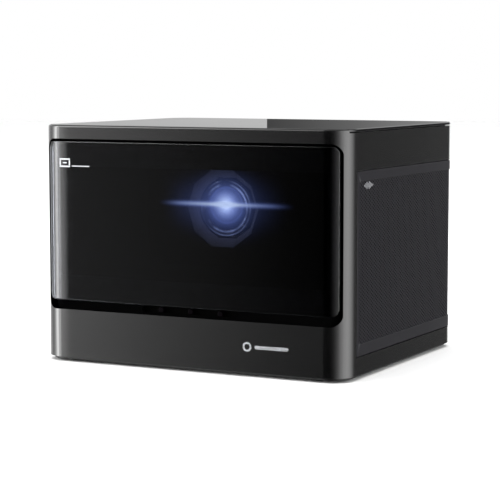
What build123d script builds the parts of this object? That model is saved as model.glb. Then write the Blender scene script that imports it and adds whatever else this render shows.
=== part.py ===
"""Home projector: a rounded box shell, a wrapped front glass, perforated sides and a lens behind the glass.

Millimetres. X runs to the right as seen from the front, the front glass faces -Y, Z is up.
The origin is the middle of the footprint, on the surface that the feet stand on.
"""

import os
from math import acos, cos, pi, radians, sin, tan

from build123d import *

# ---- overall sizes -------------------------------------------------------------------------------
width = 246.0
depth = 209.0
height = 174.0
corner_r = 17.0
wall = 2.5
gap = 0.3  # between pieces that are fitted side by side
slip = 0.05  # radial clearance of a shaft, pin or ring in its bore
reach = 20.0  # how far a cutting tool runs past the thing it cuts
least_r = 1.0  # smallest corner of a rounded window

# ---- base, feet and tripod insert ----------------------------------------------------------------
base_z = 1.5  # underside of the base tray
shell_z = 3.3  # lower edge of the shell
tray_inset = 3.0
tray_t = 2.5
tray_rim_z = 9.0
tray_rim_t = 2.0
side_x = width / 2
back_y = depth / 2
front_y = -depth / 2
foot_r = 6.5
foot_x = side_x - 25.0
foot_y = back_y - 12.5
foot_edge_r = 0.5
insert_y = -10.0
insert_r = 6.0
insert_length = 10.0
insert_hole_r = 2.6
insert_hole_depth = 9.0
insert_boss_r = 9.5

# ---- shell bands, seams and top plate ------------------------------------------------------------
seam_y = front_y + corner_r  # where the front frame meets the main shell
plate_t = 2.0
plate_bevel = 0.5
tape_t = 0.8
tape_inset = 4.0
tape_width = 10.0
deck_z = height - plate_t - tape_t  # top face of the deck that carries the top plate
deck_t = 2.5
rim_w = 2.3  # front rim of the frame, ahead of the top plate
rim_fillet = 1.8
rim_end_y = seam_y - 7.5
band_low_z = 16.0  # top of the lower band
band_high_z = height - 29.0  # foot of the upper band
panel_t = 2.2  # side grilles and rear cover
panel_back_y = back_y - panel_t
lip_t = 2.0
lip_w = 4.0
lip_run_z = 6.0
grille_front_y = seam_y + 3.0
grille_back_x = side_x - 23.0

# ---- front opening, glass and baffle -------------------------------------------------------------
opening_half = side_x - corner_r + corner_r * sin(radians(49))
opening_low_z = 38.8
opening_high_z = height - 10.0
opening_r = 8.0
glass_half = side_x - corner_r + corner_r * sin(radians(40))
glass_low_z = opening_low_z + 6.9
glass_high_z = opening_high_z - 1.8
glass_r = 5.5
glass_inset = 0.2
glass_t = 3.0
tape_gap = 2.3
glass_tape_edge = 2.0
glass_tape_w = 7.0
baffle_t = 2.0
baffle_inset = glass_inset + glass_t + tape_gap
baffle_low_z = 12.0
emblem_x = 48.0
emblem_z = 21.3
emblem_t = 0.3
emblem_ring_r = 3.4
emblem_hole_r = 2.1
emblem_bar = (26.0, 2.4)
emblem_bar_gap = 2.6

# ---- sensors under the glass ---------------------------------------------------------------------
sensor_z = (opening_low_z + glass_low_z) / 2
sensor_pitch = 24.0
sensor_r = 2.2
sensor_edge_r = 0.5
sensor_slot = (80.0, 5.4)
sensor_board = (84.0, 20.0)
sensor_board_t = 1.6
sensor_board_y = front_y + baffle_inset + baffle_t + 1.7

# ---- projection lens -----------------------------------------------------------------------------
lens_x = 26.0
lens_z = 117.0
barrel_r = 18.0
barrel_wall = 3.0
cell_wall = 2.95
cell_r = barrel_r + slip + cell_wall
cell_front_y = front_y + 11.5
cell_back_y = cell_front_y + 33.0
cell_lens_back_y = cell_front_y + 13.0
lens_r = barrel_r - 1.0
lens_lip = 1.5
lens_lip_t = 1.0
lens_t = 8.0
lens_bulge_r = 38.0
lens_seat = 0.1
hood_sides = 10
hood_clear = 1.85
hood_throat_r = (cell_r + hood_clear) / cos(pi / hood_sides)
hood_mouth_r = hood_throat_r + 6.0
hood_flange_r = hood_mouth_r + 4.0
hood_wall = 1.5
hood_throat_y = cell_front_y + 2.5
barrel_front_y = cell_front_y + 21.0
flange_y = cell_front_y + 57.0
flange_t = 3.0
cup_wall = 2.0
cup_r = cell_r + cup_wall + 2.0
flange_half = (cup_r + 3.0, cup_r + 2.0)
flange_screw = flange_half[1] - 3.0
ring_y = cell_front_y + 26.3
ring_t = 1.7
ring_r = cup_r + 4.0
rear_lens_r = barrel_r - barrel_wall - slip
rear_lens_y = (cell_front_y + 43.0, cell_front_y + 49.0)

# ---- focus drive ---------------------------------------------------------------------------------
gear_teeth = 52
pinion_teeth = 14
tooth_addendum = 0.8
tooth_dedendum = 1.25
tooth_backlash = 0.14
flank_steps = 3
pressure_angle = 20.0
gear_w = 6.8
gear_float = 0.1
motor_boss_t = 1.7
focus_shaft_r = 1.0
motor_r = 7.5
motor_clear = 0.5
motor_axis = cup_r + motor_clear + motor_r
gear_module = 2 * motor_axis / (gear_teeth + pinion_teeth)
motor_length = 18.0
motor_boss_r = 3.0
ear_half = 9.0

# ---- light engine --------------------------------------------------------------------------------
engine_x = (-40.0, 60.0)
engine_y = (flange_y + flange_t, flange_y + 50.0)
engine_screw_rim = 5.0
engine_half_z = flange_screw + engine_screw_rim
engine_z = (lens_z - engine_half_z, lens_z + engine_half_z)
engine_wall = 3.0
cover_t = 2.5
prism_size = 24.0
prism_bevel = 1.4
prism_y = flange_y + 18.0
chip_size = (22.0, 16.0)
chip_t = 3.5
chip_clear = 1.0
dmd_board_size = (44.0, 40.0)
board_t = 1.6
dmd_sink_size = (36.0, 36.0)
dmd_sink_base = 3.0
dmd_sink_depth = 18.0
dmd_sink_fins = 9
fin_t = 1.2
shift_frame_half = 16.0
shift_hole_half = 12.5
shift_plate_half = 11.0
shift_y = flange_y + 8.0
shift_frame_t = 3.0
shift_plate_t = 2.0
shift_pin_r = 0.8
beam_y = flange_y + 27.0
wheel_x = -25.0
wheel_z = 107.5
wheel_r = 15.0
wheel_t = 1.5
wheel_hub_r = 5.0
wheel_hub_t = 4.0
wheel_shaft_r = 1.5
wheel_motor_r = 8.0
wheel_motor_length = 9.0
relay_x = (-14.0, -8.0)
relay_r = 9.0
relay_saddle = 10.0
laser_length = 18.0
laser_half = 18.0
laser_bevel = 0.5
laser_nose_r = 7.5
laser_nose_length = 4.0
sink_base_t = 3.0
sink_depth_y = (beam_y - 38.0, beam_y + 38.0)
sink_height_z = (84.0, 150.0)
sink_fin_t = 0.8
sink_fin_pitch = 3.2
sink_fins = 12
pipe_r = 3.0
pipe_y = 13.0
pipe_z = 13.0
post_r = 4.0
post_inset = 8.0

# ---- cooling fans --------------------------------------------------------------------------------
fan_size = 76.0
fan_t = 15.0
fan_x = 44.0
fan_z = 100.0
fan_corner_r = 4.0
fan_bore_r = 35.5
fan_rotor_r = 34.0
fan_hub_r = 14.0
fan_hub_t = 12.0
fan_blades = 9
fan_blade_t = 1.4
fan_blade_pitch = 38.0
blade_lean = 0.75
fan_spokes = 4
fan_spoke_w = 4.0
fan_spoke_t = 2.0
fan_shaft_r = 1.5

# ---- speakers ------------------------------------------------------------------------------------
box_x = (side_x - 39.0, side_x - 6.0)
box_y = (front_y + 26.5, front_y + 96.5)
box_z = (12.0, 84.0)
box_wall = 2.0
basket_r = 28.0
basket_flange_t = 1.3
basket_hole_r = 24.0
basket_wall = 2.4
basket_depth = 15.0
magnet_r = 16.0
magnet_t = 8.0
coil_r = 8.0
coil_t = 1.0
coil_gap = 0.5
coil_back = 4.0
cone_r = 20.8
cone_depth = 9.0
cone_t = 1.0
cone_set = 1.8
surround_r = 1.1
cap_h = 2.6

# ---- rear cover, connectors and power button -----------------------------------------------------
rear_window = (2 * grille_back_x - 24.0, 80.0)
rear_window_r = 4.0
rear_grille_t = 1.4
rear_lip = 3.0
rear_mid_z = 98.0
io_x = (-84.0, 64.0)
io_z = (24.0, 50.0)
io_wall = 2.0
io_floor_t = 2.0
io_floor_y = depth / 2 - 8.5
board_y = depth / 2 - 20.5
board_size = (2 * grille_back_x - 16.0, 44.0)
board_z = 14.0
socket_z = 36.0
fit_hole = 0.2
hdmi_x = (-20.0, 2.0)
hdmi_hole = (14.2, 4.9)
usb_x = (-59.0, -41.0)
usb_hole = (12.6, 5.3)
lan_x = 26.0
lan_hole = (11.8, 8.6)
socket_wall = 0.8
socket_back = 2.0
tongue_set = 3.5
tongue_t = 1.2
tongue_share = 0.75
dc_x = 50.0
dc_r = 5.5
dc_hole_r = 3.15
dc_pin_r = 1.25
jack_x = -74.0
jack_r = 4.0
jack_hole_r = 1.8
button_x = io_x[1] + 18.0
button_r = 5.0
button_flange_r = 6.0
button_flange_t = 1.5
button_set = 0.2
button_stem_r = 2.0
button_edge_r = 0.5
switch_half = 6.0
switch_t = 5.5
switch_depth = 2.5
button_end = 1.7  # how far past the switch's mouth the stem reaches at rest

# ---- screws --------------------------------------------------------------------------------------
screw_r = 1.45
screw_hole_r = 1.5
screw_head_r = 2.8
screw_head_t = 1.6
screw_socket_r = 1.0
screw_socket_t = 0.9
base_screw_x = side_x - 15.0
base_screw_y = (box_y[1] + 10.0, back_y - 22.5)
base_screw_length = 14.0
base_boss_top = 20.0
rear_screw_x = grille_back_x - lip_w
rear_screw_z = (40.0, 120.0)
rear_screw_length = 7.0
engine_screw_length = 8.0



# ---- helpers -------------------------------------------------------------------------------------
def block(x_span, y_span, z_span):
    """A plain block between a low and a high value on each axis."""
    spans = (x_span, y_span, z_span)
    middle = [(low + high) / 2 for low, high in spans]
    size = [high - low for low, high in spans]
    return Pos(*middle) * Box(*size)


def outline(inset=0.0):
    """The rounded rectangle that the shell has in plan, moved in by inset."""
    return RectangleRounded(width - 2 * inset, depth - 2 * inset, corner_r - inset)


def prism(inset, z_span):
    """The shell's outline, moved in by inset and raised between two heights."""
    low, high = z_span
    return Pos(0, 0, low) * extrude(outline(inset), high - low)


def ring(inset, thickness, z_span):
    """A wall that follows the shell's outline."""
    return prism(inset, z_span) - prism(inset + thickness, (z_span[0] - 1, z_span[1] + 1))


def along_y(sketch, y_span, x=0.0, z=0.0):
    """A sketch in X and Z, drawn out between two Y values."""
    low, high = y_span
    return Pos(x, high, z) * Rot(90, 0, 0) * extrude(sketch, high - low)


def along_x(sketch, x_span, y=0.0, z=0.0):
    """A sketch in Y and Z, drawn out between two X values."""
    low, high = x_span
    return Pos(low, y, z) * Rot(0, 0, 90) * Rot(90, 0, 0) * extrude(sketch, high - low)


def along_z(sketch, z_span, x=0.0, y=0.0):
    """A sketch in X and Y, drawn out between two heights."""
    low, high = z_span
    return Pos(x, y, low) * extrude(sketch, high - low)


def front_window(half, z_low, z_high, radius, grow=0.0):
    """A rounded tool that passes through the front wall, as far back as the seam."""
    sketch = RectangleRounded(2 * (half + grow), z_high - z_low + 2 * grow, max(radius + grow, least_r))
    return along_y(sketch, (front_y - reach, seam_y), 0.0, (z_low + z_high) / 2)


def front_half(y_limit):
    """Everything ahead of y_limit."""
    return block((-width, width), (front_y - reach, y_limit), (-reach, height + reach))


def back_half(y_limit):
    """Everything behind y_limit."""
    return block((-width, width), (y_limit, back_y + reach), (-reach, height + reach))


def mirrored(solid):
    """The same piece on the other side."""
    return mirror(solid, Plane.YZ)


def screw(length):
    """A pan-head screw, head up at Z 0 and above, shank down."""
    head = along_z(Circle(screw_head_r), (0, screw_head_t))
    shank = along_z(Circle(screw_r), (-length, 0))
    socket = along_z(RegularPolygon(screw_socket_r, 6), (screw_head_t - screw_socket_t, screw_head_t + 1))
    return head + shank - socket


def gear_outline(teeth):
    """Involute teeth, shortened a little at the tip, as one closed polygon."""
    pitch = teeth * gear_module / 2
    tip = pitch + tooth_addendum * gear_module
    root = pitch - tooth_dedendum * gear_module
    base = pitch * cos(radians(pressure_angle))
    half_at_pitch = (pi * gear_module / 2 - tooth_backlash) / 2 / pitch
    start = max(base, root)
    radii = [root] if root < base else []
    radii += [start + (tip - start) * step / flank_steps for step in range(flank_steps + 1)]
    sides = []
    for radius in radii:
        angle = acos(min(1.0, base / radius))
        half = half_at_pitch + involute(radians(pressure_angle)) - involute(angle)
        sides.append((radius, half))
    points = []
    for tooth in range(teeth):
        middle = 2 * pi * tooth / teeth
        points += [(r * cos(middle - half), r * sin(middle - half)) for r, half in sides]
        points += [(r * cos(middle + half), r * sin(middle + half)) for r, half in reversed(sides)]
    return make_face(Polyline(*points, close=True))


def involute(angle):
    return tan(angle) - angle


# ---- enclosure -----------------------------------------------------------------------------------
def top_outline(inset=0.0):
    """The top plate in plan: flush with the sides and back, set behind the rim at the front."""
    sketch = RectangleRounded(width - 2 * inset, depth - rim_w - 2 * inset, corner_r - inset)
    return Pos(0, rim_w / 2) * sketch


def shell_cavity():
    """The room inside the wall and under the deck."""
    return prism(wall, (shell_z - reach, deck_z - deck_t))


def front_frame():
    blank = prism(0, (shell_z, height))
    blank = fillet(blank.edges().group_by(Axis.Z)[-1], rim_fillet)
    blank -= shell_cavity()
    blank &= front_half(seam_y - gap / 2)
    blank -= front_window(opening_half, opening_low_z, opening_high_z, opening_r)
    blank -= along_z(top_outline(-gap), (deck_z, height + reach))
    blank -= back_half(rim_end_y) & block((-width, width), (-depth, depth), (deck_z, height + reach))
    return blank - emblem_shape()


def emblem_shape():
    """A ring and a bar, let into the lower band."""
    bar_w, bar_h = emblem_bar
    ring_face = Circle(emblem_ring_r) - Circle(emblem_hole_r)
    bar_x = emblem_x + emblem_ring_r + emblem_bar_gap + bar_w / 2
    span = (front_y, front_y + emblem_t)
    mark = along_y(ring_face, span, emblem_x, emblem_z)
    bar = RectangleRounded(bar_w, bar_h, bar_h / 2 - slip)
    return Compound([mark, along_y(bar, span, bar_x, emblem_z)])


def front_glass():
    sheet = ring(glass_inset, glass_t, (glass_low_z, glass_high_z))
    return sheet & front_window(glass_half, glass_low_z, glass_high_z, glass_r)


def glass_tape():
    sheet = ring(glass_inset + glass_t + slip, tape_gap - 2 * slip, (glass_low_z, glass_high_z))
    rim = front_window(glass_half, glass_low_z, glass_high_z, glass_r, -glass_tape_edge)
    inner = glass_tape_edge + glass_tape_w
    hole = front_window(glass_half, glass_low_z + inner, glass_high_z - inner, glass_r, -inner)
    return (sheet & rim) - hole


def front_baffle():
    sheet = ring(baffle_inset, baffle_t, (baffle_low_z, deck_z - deck_t - gap))
    sheet &= front_half(seam_y - gap)
    mouth = RegularPolygon(hood_mouth_r - hood_wall, hood_sides)
    sheet -= along_y(mouth, (front_y, seam_y), lens_x, lens_z)
    slot = SlotOverall(*sensor_slot)
    return sheet - along_y(slot, (front_y, seam_y), 0, sensor_z)


def top_glass():
    plate = along_z(top_outline(), (deck_z + tape_t, height))
    return chamfer(plate.edges().group_by(Axis.Z)[-1], plate_bevel)


def top_tape():
    face = top_outline(tape_inset) - top_outline(tape_inset + tape_width)
    return along_z(face, (deck_z, deck_z + tape_t))


def side_region(y_low, x_low, z_span):
    """The zone of the wall that holds the side grilles and the rear cover."""
    zone = block((-width, width), (y_low, back_y + reach), z_span)
    return zone - block((-x_low, x_low), (-depth, depth + reach), (z_span[0] - 1, z_span[1] + 1))


def main_shell():
    shell = prism(0, (shell_z, deck_z)) - shell_cavity()
    pocket = (band_low_z - gap, band_high_z + gap)
    shell -= ring(-1, wall + 1, pocket) & back_half(grille_front_y - gap)
    lip_z = (band_low_z - lip_run_z, band_high_z + lip_run_z)
    lip = ring(wall, lip_t, lip_z)
    through_z = (band_low_z + lip_w, band_high_z - lip_w)
    lip -= side_region(grille_front_y + lip_w, side_x - corner_r, through_z)
    rear_half = grille_back_x - 2 * lip_w
    lip -= block((-rear_half, rear_half), (0, back_y + reach), through_z)
    shell += lip
    shell &= back_half(seam_y + gap / 2)
    for x in (-1, 1):
        for y in base_screw_y:
            shell += base_boss(x, y)
    for x in (-rear_screw_x, rear_screw_x):
        for z in rear_screw_z:
            shell -= along_y(Circle(screw_hole_r), (0, back_y), x, z)
    return shell


def base_boss(side, y):
    """A block on the side wall that a base screw bites into."""
    half = screw_head_r * 2
    inner = base_screw_x - half
    spans = sorted((side * inner, side * (side_x - wall + 1)))
    boss = block(spans, (y - half, y + half), (tray_rim_z + gap, base_boss_top))
    boss &= prism(wall, (0, height))
    return boss - along_z(Circle(screw_hole_r), (0, base_boss_top - 1), side * base_screw_x, y)


def side_grille_right():
    sheet = ring(0, panel_t, (band_low_z, band_high_z))
    zone = block((grille_back_x, width), (grille_front_y, back_y + reach), (0, height))
    return sheet & zone


def rear_cover():
    half = grille_back_x - gap
    cover = block((-half, half), (panel_back_y, back_y), (band_low_z, band_high_z))
    cover -= along_y(rear_pocket(0), (back_y - rear_grille_t - gap, back_y + 1), 0, rear_mid_z)
    cover -= along_y(rear_pocket(-rear_lip), (0, back_y + 1), 0, rear_mid_z)
    cover -= block(io_x, (0, back_y + 1), io_z)
    cover -= along_y(Circle(button_r + gap), (0, back_y + 1), button_x, socket_z)
    for x in (-rear_screw_x, rear_screw_x):
        for z in rear_screw_z:
            cover -= along_y(Circle(screw_hole_r + fit_hole), (0, back_y + 1), x, z)
            cover -= along_y(Circle(screw_head_r + fit_hole), (back_y - screw_head_t, back_y + 1), x, z)
    return cover


def rear_pocket(grow):
    """The outline of the rear grille's window."""
    wide, high = rear_window
    return RectangleRounded(wide + 2 * grow, high + 2 * grow, rear_window_r + max(grow, -rear_lip))


def rear_grille():
    return along_y(rear_pocket(-gap), (back_y - rear_grille_t - gap, back_y - gap), 0, rear_mid_z)


def base_tray():
    tray = prism(tray_inset, (base_z, tray_rim_z))
    tray -= prism(tray_inset + tray_rim_t, (base_z + tray_t, height))
    floor_z = base_z + tray_t
    for x in (-1, 1):
        for y in base_screw_y:
            tray += along_z(Circle(screw_head_r + 1), (floor_z, tray_rim_z + gap), x * base_screw_x, y)
        middle = x * (box_x[0] + box_x[1]) / 2
        for y in box_y:
            inward = 1 if y == box_y[0] else -1
            rib = sorted((y + inward * box_wall, y + inward * 3 * box_wall))
            reach_x = (middle - basket_depth / 2, middle + basket_depth / 2)
            tray += block(reach_x, rib, (floor_z, box_z[0]))
    for x in (engine_x[0] + post_inset, engine_x[1] - post_inset):
        for y in (engine_y[0] + post_inset, engine_y[1] - post_inset):
            tray += along_z(Circle(post_r), (floor_z, engine_z[0]), x, y)
    for x in (io_x[0], -io_x[0]):
        post_y = (board_y - post_r, board_y)
        tray += block((x - post_r, x + post_r), post_y, (floor_z, board_z + 2 * post_r))
    tray += along_z(Circle(insert_boss_r), (floor_z, base_z + insert_length), 0, insert_y)
    tray -= along_z(Circle(insert_r + slip), (0, height), 0, insert_y)
    for x in (-base_screw_x, base_screw_x):
        for y in base_screw_y:
            tray -= along_z(Circle(screw_hole_r + fit_hole), (0, height), x, y)
            tray -= along_z(Circle(screw_head_r + fit_hole), (0, base_z + screw_head_t), x, y)
    return tray


def feet():
    foot = along_z(Circle(foot_r), (0, base_z))
    foot = fillet(foot.edges().group_by(Axis.Z)[0], foot_edge_r)
    places = [(x, y) for x in (-foot_x, foot_x) for y in (-foot_y, foot_y)]
    return Compound([Pos(x, y, 0) * foot for x, y in places])


def tripod_insert():
    body = along_z(Circle(insert_r), (base_z, base_z + insert_length), 0, insert_y)
    return body - along_z(Circle(insert_hole_r), (0, base_z + insert_hole_depth), 0, insert_y)


def base_screws():
    turned = Rot(180, 0, 0) * screw(base_screw_length)
    places = [(x, y) for x in (-base_screw_x, base_screw_x) for y in base_screw_y]
    return Compound([Pos(x, y, base_z + screw_head_t) * turned for x, y in places])


def rear_screws():
    turned = Rot(-90, 0, 0) * screw(rear_screw_length)
    places = [(x, z) for x in (-rear_screw_x, rear_screw_x) for z in rear_screw_z]
    return Compound([Pos(x, back_y - screw_head_t, z) * turned for x, z in places])


# ---- sensors -------------------------------------------------------------------------------------
def sensor_board_piece():
    face = Rectangle(*sensor_board)
    return along_y(face, (sensor_board_y, sensor_board_y + sensor_board_t), 0, sensor_z)


def sensor_windows():
    front = front_y + baffle_inset - gap
    pins = []
    for x in (-sensor_pitch, 0, sensor_pitch):
        lens = along_y(Circle(sensor_r), (front, sensor_board_y), x, sensor_z)
        pins.append(fillet(lens.edges().group_by(Axis.Y)[0], sensor_edge_r))
    return Compound(pins)


# ---- projection lens -----------------------------------------------------------------------------
def lens_hood():
    mouth_y = front_y + baffle_inset + baffle_t
    turned = Rot(90, 0, 0)

    def funnel(shrink):
        wide = Pos(lens_x, mouth_y, lens_z) * turned * RegularPolygon(hood_mouth_r - shrink, hood_sides)
        narrow = RegularPolygon(hood_throat_r - shrink, hood_sides)
        narrow = Pos(lens_x, hood_throat_y, lens_z) * turned * narrow
        return loft([wide, narrow])

    flange = RegularPolygon(hood_flange_r, hood_sides)
    hood = funnel(0) + along_y(flange, (mouth_y, mouth_y + hood_wall), lens_x, lens_z)
    return hood - funnel(hood_wall)


def focus_cell():
    cell = along_y(Circle(cell_r), (cell_front_y, cell_back_y), lens_x, lens_z)
    cell -= along_y(Circle(lens_r), (cell_front_y + lens_lip_t, cell_lens_back_y), lens_x, lens_z)
    cell -= along_y(Circle(lens_r - lens_lip), (front_y, cell_back_y), lens_x, lens_z)
    return cell - along_y(Circle(barrel_r + slip), (cell_lens_back_y, cell_back_y), lens_x, lens_z)


def bulged_disc(radius, thickness, y_front):
    """A lens whose front face is part of a sphere."""
    disc = along_y(Circle(radius), (y_front, y_front + thickness), lens_x, lens_z)
    ball = Pos(lens_x, y_front + lens_bulge_r, lens_z) * Sphere(lens_bulge_r)
    return disc & ball


def front_lens():
    lens = bulged_disc(lens_r - lens_lip - slip, lens_t, cell_front_y + lens_lip_t / 2)
    seat_y = cell_front_y + lens_lip_t + lens_seat
    rim = along_y(Circle(lens_r - slip), (seat_y, cell_lens_back_y - lens_seat), lens_x, lens_z)
    return lens + rim


def lens_barrel():
    barrel = along_y(Circle(barrel_r), (barrel_front_y, flange_y), lens_x, lens_z)
    barrel += along_y(Circle(cup_r), (ring_y + ring_t, flange_y), lens_x, lens_z)
    barrel -= along_y(Circle(cup_r - cup_wall), (ring_y + ring_t, flange_y), lens_x, lens_z)
    barrel += along_y(Circle(barrel_r), (barrel_front_y, flange_y), lens_x, lens_z)
    plate = Circle(ring_r) + Pos(-motor_axis, 0) * Rectangle(2 * ear_half, 2 * ear_half)
    plate -= Circle(cell_r + gap)
    plate -= Pos(-motor_axis, 0) * Circle(motor_boss_r + slip)
    barrel += along_y(plate, (ring_y, ring_y + ring_t), lens_x, lens_z)
    flange = Rectangle(2 * flange_half[0], 2 * flange_half[1])
    barrel += along_y(flange, (flange_y, flange_y + flange_t), lens_x, lens_z)
    barrel -= along_y(Circle(barrel_r - barrel_wall), (front_y, 0), lens_x, lens_z)
    for x, z in engine_screw_places():
        barrel -= along_y(Circle(screw_hole_r + fit_hole), (flange_y - 1, 0), x, z)
    return barrel


def engine_screw_places():
    return [(lens_x + a * flange_screw, lens_z + b * flange_screw) for a in (-1, 1) for b in (-1, 1)]


def rear_lens():
    low, high = rear_lens_y
    return bulged_disc(rear_lens_r, high - low, low)


def engine_screws():
    turned = Rot(90, 0, 0) * screw(engine_screw_length)
    return Compound([Pos(x, flange_y, z) * turned for x, z in engine_screw_places()])


# ---- focus drive ---------------------------------------------------------------------------------
def gear_span():
    return (ring_y - gear_float - gear_w, ring_y - gear_float)


def focus_gear():
    face = gear_outline(gear_teeth) - Circle(cell_r + slip)
    return along_y(face, gear_span(), lens_x, lens_z)


def focus_pinion():
    x = lens_x - motor_axis
    half_tooth = 180 / pinion_teeth
    wheel = along_y(Rot(0, 0, half_tooth) * gear_outline(pinion_teeth), gear_span(), x, lens_z)
    shaft_end = ring_y + motor_boss_t + 2
    return wheel + along_y(Circle(focus_shaft_r), (gear_span()[1], shaft_end), x, lens_z)


def focus_motor():
    x = lens_x - motor_axis
    body = along_y(Circle(motor_r), (ring_y + ring_t, ring_y + ring_t + motor_length), x, lens_z)
    body += along_y(Circle(motor_boss_r), (ring_y, ring_y + ring_t), x, lens_z)
    return body - along_y(Circle(focus_shaft_r + slip), (front_y, ring_y + motor_boss_t + 3), x, lens_z)


# ---- light engine --------------------------------------------------------------------------------
def engine_housing():
    w = engine_wall
    box = block(engine_x, engine_y, engine_z)
    inner_x = (engine_x[0] + w, engine_x[1] - w)
    inner_y = (engine_y[0] + w, engine_y[1] - w)
    box -= block(inner_x, inner_y, (engine_z[0] + w, engine_z[1] + 1))
    floor_z = engine_z[0] + w
    half = prism_size / 2
    prism_span = (prism_y, prism_y + prism_size)
    box += block((lens_x - half, lens_x + half), prism_span, (floor_z, lens_z - half))
    box += block(
        (lens_x - shift_hole_half, lens_x + shift_hole_half),
        (shift_y, shift_y + shift_frame_t),
        (floor_z, lens_z - shift_frame_half),
    )
    saddle_x = (relay_x[0] + 1, relay_x[1] - 1)
    saddle = block(saddle_x, (beam_y - relay_saddle / 2, beam_y + relay_saddle / 2), (floor_z, lens_z))
    box += saddle - along_x(Circle(relay_r + slip), (relay_x[0], relay_x[1]), beam_y, lens_z)
    box -= along_y(Circle(barrel_r - barrel_wall), (engine_y[0] - 1, inner_y[0] + 1), lens_x, lens_z)
    chip_w, chip_h = (size + 2 * chip_clear for size in chip_size)
    box -= along_y(Rectangle(chip_w, chip_h), (inner_y[1] - 1, engine_y[1] + 1), lens_x, lens_z)
    box -= along_x(Circle(laser_nose_r + gap), (engine_x[0] - 1, inner_x[0] + 1), beam_y, lens_z)
    for x, z in engine_screw_places():
        box -= along_y(Circle(screw_hole_r), (flange_y, flange_y + engine_screw_length + gap), x, z)
    return box


def engine_cover():
    return block(engine_x, engine_y, (engine_z[1], engine_z[1] + cover_t))


def prism_block():
    half = prism_size / 2
    y_span = (prism_y, prism_y + prism_size)
    cube = block((lens_x - half, lens_x + half), y_span, (lens_z - half, lens_z + half))
    return chamfer(cube.edges().filter_by(Axis.Z), prism_bevel)


def dmd_board():
    wide, high = dmd_board_size
    board = along_y(Rectangle(wide, high), (engine_y[1], engine_y[1] + board_t), lens_x, lens_z)
    return board + along_y(Rectangle(*chip_size), (engine_y[1] - chip_t, engine_y[1]), lens_x, lens_z)


def dmd_heat_sink():
    base_y = engine_y[1] + board_t
    wide, high = dmd_sink_size
    sink = along_y(Rectangle(wide, high), (base_y, base_y + dmd_sink_base), lens_x, lens_z)
    pitch = (wide - fin_t) / (dmd_sink_fins - 1)
    for index in range(dmd_sink_fins):
        x = lens_x - wide / 2 + fin_t / 2 + index * pitch
        fin_span = (base_y + dmd_sink_base, base_y + dmd_sink_depth)
        sink += along_y(Rectangle(fin_t, high), fin_span, x, lens_z)
    return sink


def shift_frame():
    half = shift_frame_half
    face = Rectangle(2 * half, 2 * half) - Rectangle(2 * shift_hole_half, 2 * shift_hole_half)
    frame = along_y(face, (shift_y, shift_y + shift_frame_t), lens_x, lens_z)
    pin_y = shift_y + shift_frame_t / 2
    bore = (lens_x - half - 1, lens_x + half + 1)
    return frame - along_x(Circle(shift_pin_r + slip), bore, pin_y, lens_z)


def shift_plate():
    pin_y = shift_y + shift_frame_t / 2
    half_t = shift_plate_t / 2
    face = Rectangle(2 * shift_plate_half, 2 * shift_plate_half)
    plate = along_y(face, (pin_y - half_t, pin_y + half_t), lens_x, lens_z)
    ends = shift_frame_half - gap
    return plate + along_x(Circle(shift_pin_r), (lens_x - ends, lens_x + ends), pin_y, lens_z)


def phosphor_wheel():
    wheel = along_x(Circle(wheel_r), (wheel_x - wheel_t / 2, wheel_x + wheel_t / 2), beam_y, wheel_z)
    wheel += along_x(Circle(wheel_hub_r), (wheel_x, wheel_x + wheel_hub_t / 2), beam_y, wheel_z)
    shaft_end = motor_face_x() - wheel_motor_length / 2
    return wheel + along_x(Circle(wheel_shaft_r), (shaft_end, wheel_x), beam_y, wheel_z)


def motor_face_x():
    return engine_x[0] + engine_wall + wheel_motor_length


def wheel_motor():
    wall_x = engine_x[0] + engine_wall
    body = along_x(Circle(wheel_motor_r), (wall_x, motor_face_x()), beam_y, wheel_z)
    body -= along_x(Circle(laser_nose_r + 2 * gap), (wall_x - 1, motor_face_x() + 1), beam_y, lens_z)
    bore_start = motor_face_x() - wheel_motor_length / 2 - gap
    return body - along_x(Circle(wheel_shaft_r + slip), (bore_start, motor_face_x() + 1), beam_y, wheel_z)


def relay_lens():
    return along_x(Circle(relay_r), relay_x, beam_y, lens_z)


def laser_block(x_span):
    y_span = (beam_y - laser_half, beam_y + laser_half)
    return block(x_span, y_span, (lens_z - laser_half, lens_z + laser_half))


def laser_module():
    x_low = engine_x[0] - laser_length
    body = laser_block((x_low, engine_x[0]))
    body = chamfer(body.edges().filter_by(Axis.X), laser_bevel)
    nose = (engine_x[0], engine_x[0] + laser_nose_length)
    return body + along_x(Circle(laser_nose_r), nose, beam_y, lens_z)


def pipe_places():
    return [(beam_y + a * pipe_y, lens_z + b * pipe_z) for a in (-1, 1) for b in (-1, 1)]


def laser_heat_sink():
    x_high = engine_x[0] - laser_length
    y_mid = sum(sink_depth_y) / 2
    z_mid = sum(sink_height_z) / 2
    deep = sink_depth_y[1] - sink_depth_y[0]
    tall = sink_height_z[1] - sink_height_z[0]
    plates = [laser_block((x_high - sink_base_t, x_high))]
    for index in range(sink_fins):
        x = x_high - sink_base_t - (index + 1) * sink_fin_pitch
        plates.append(along_x(Rectangle(deep, tall), (x, x + sink_fin_t), y_mid, z_mid))
    pierced = []
    for plate in plates:
        for y, z in pipe_places():
            plate -= along_x(Circle(pipe_r + slip), (-side_x, 0), y, z)
        pierced.append(plate)
    return Compound(pierced)


def heat_pipes():
    x_high = engine_x[0] - laser_length
    x_low = x_high - sink_base_t - sink_fins * sink_fin_pitch - 1
    return Compound([along_x(Circle(pipe_r), (x_low, x_high), y, z) for y, z in pipe_places()])


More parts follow.
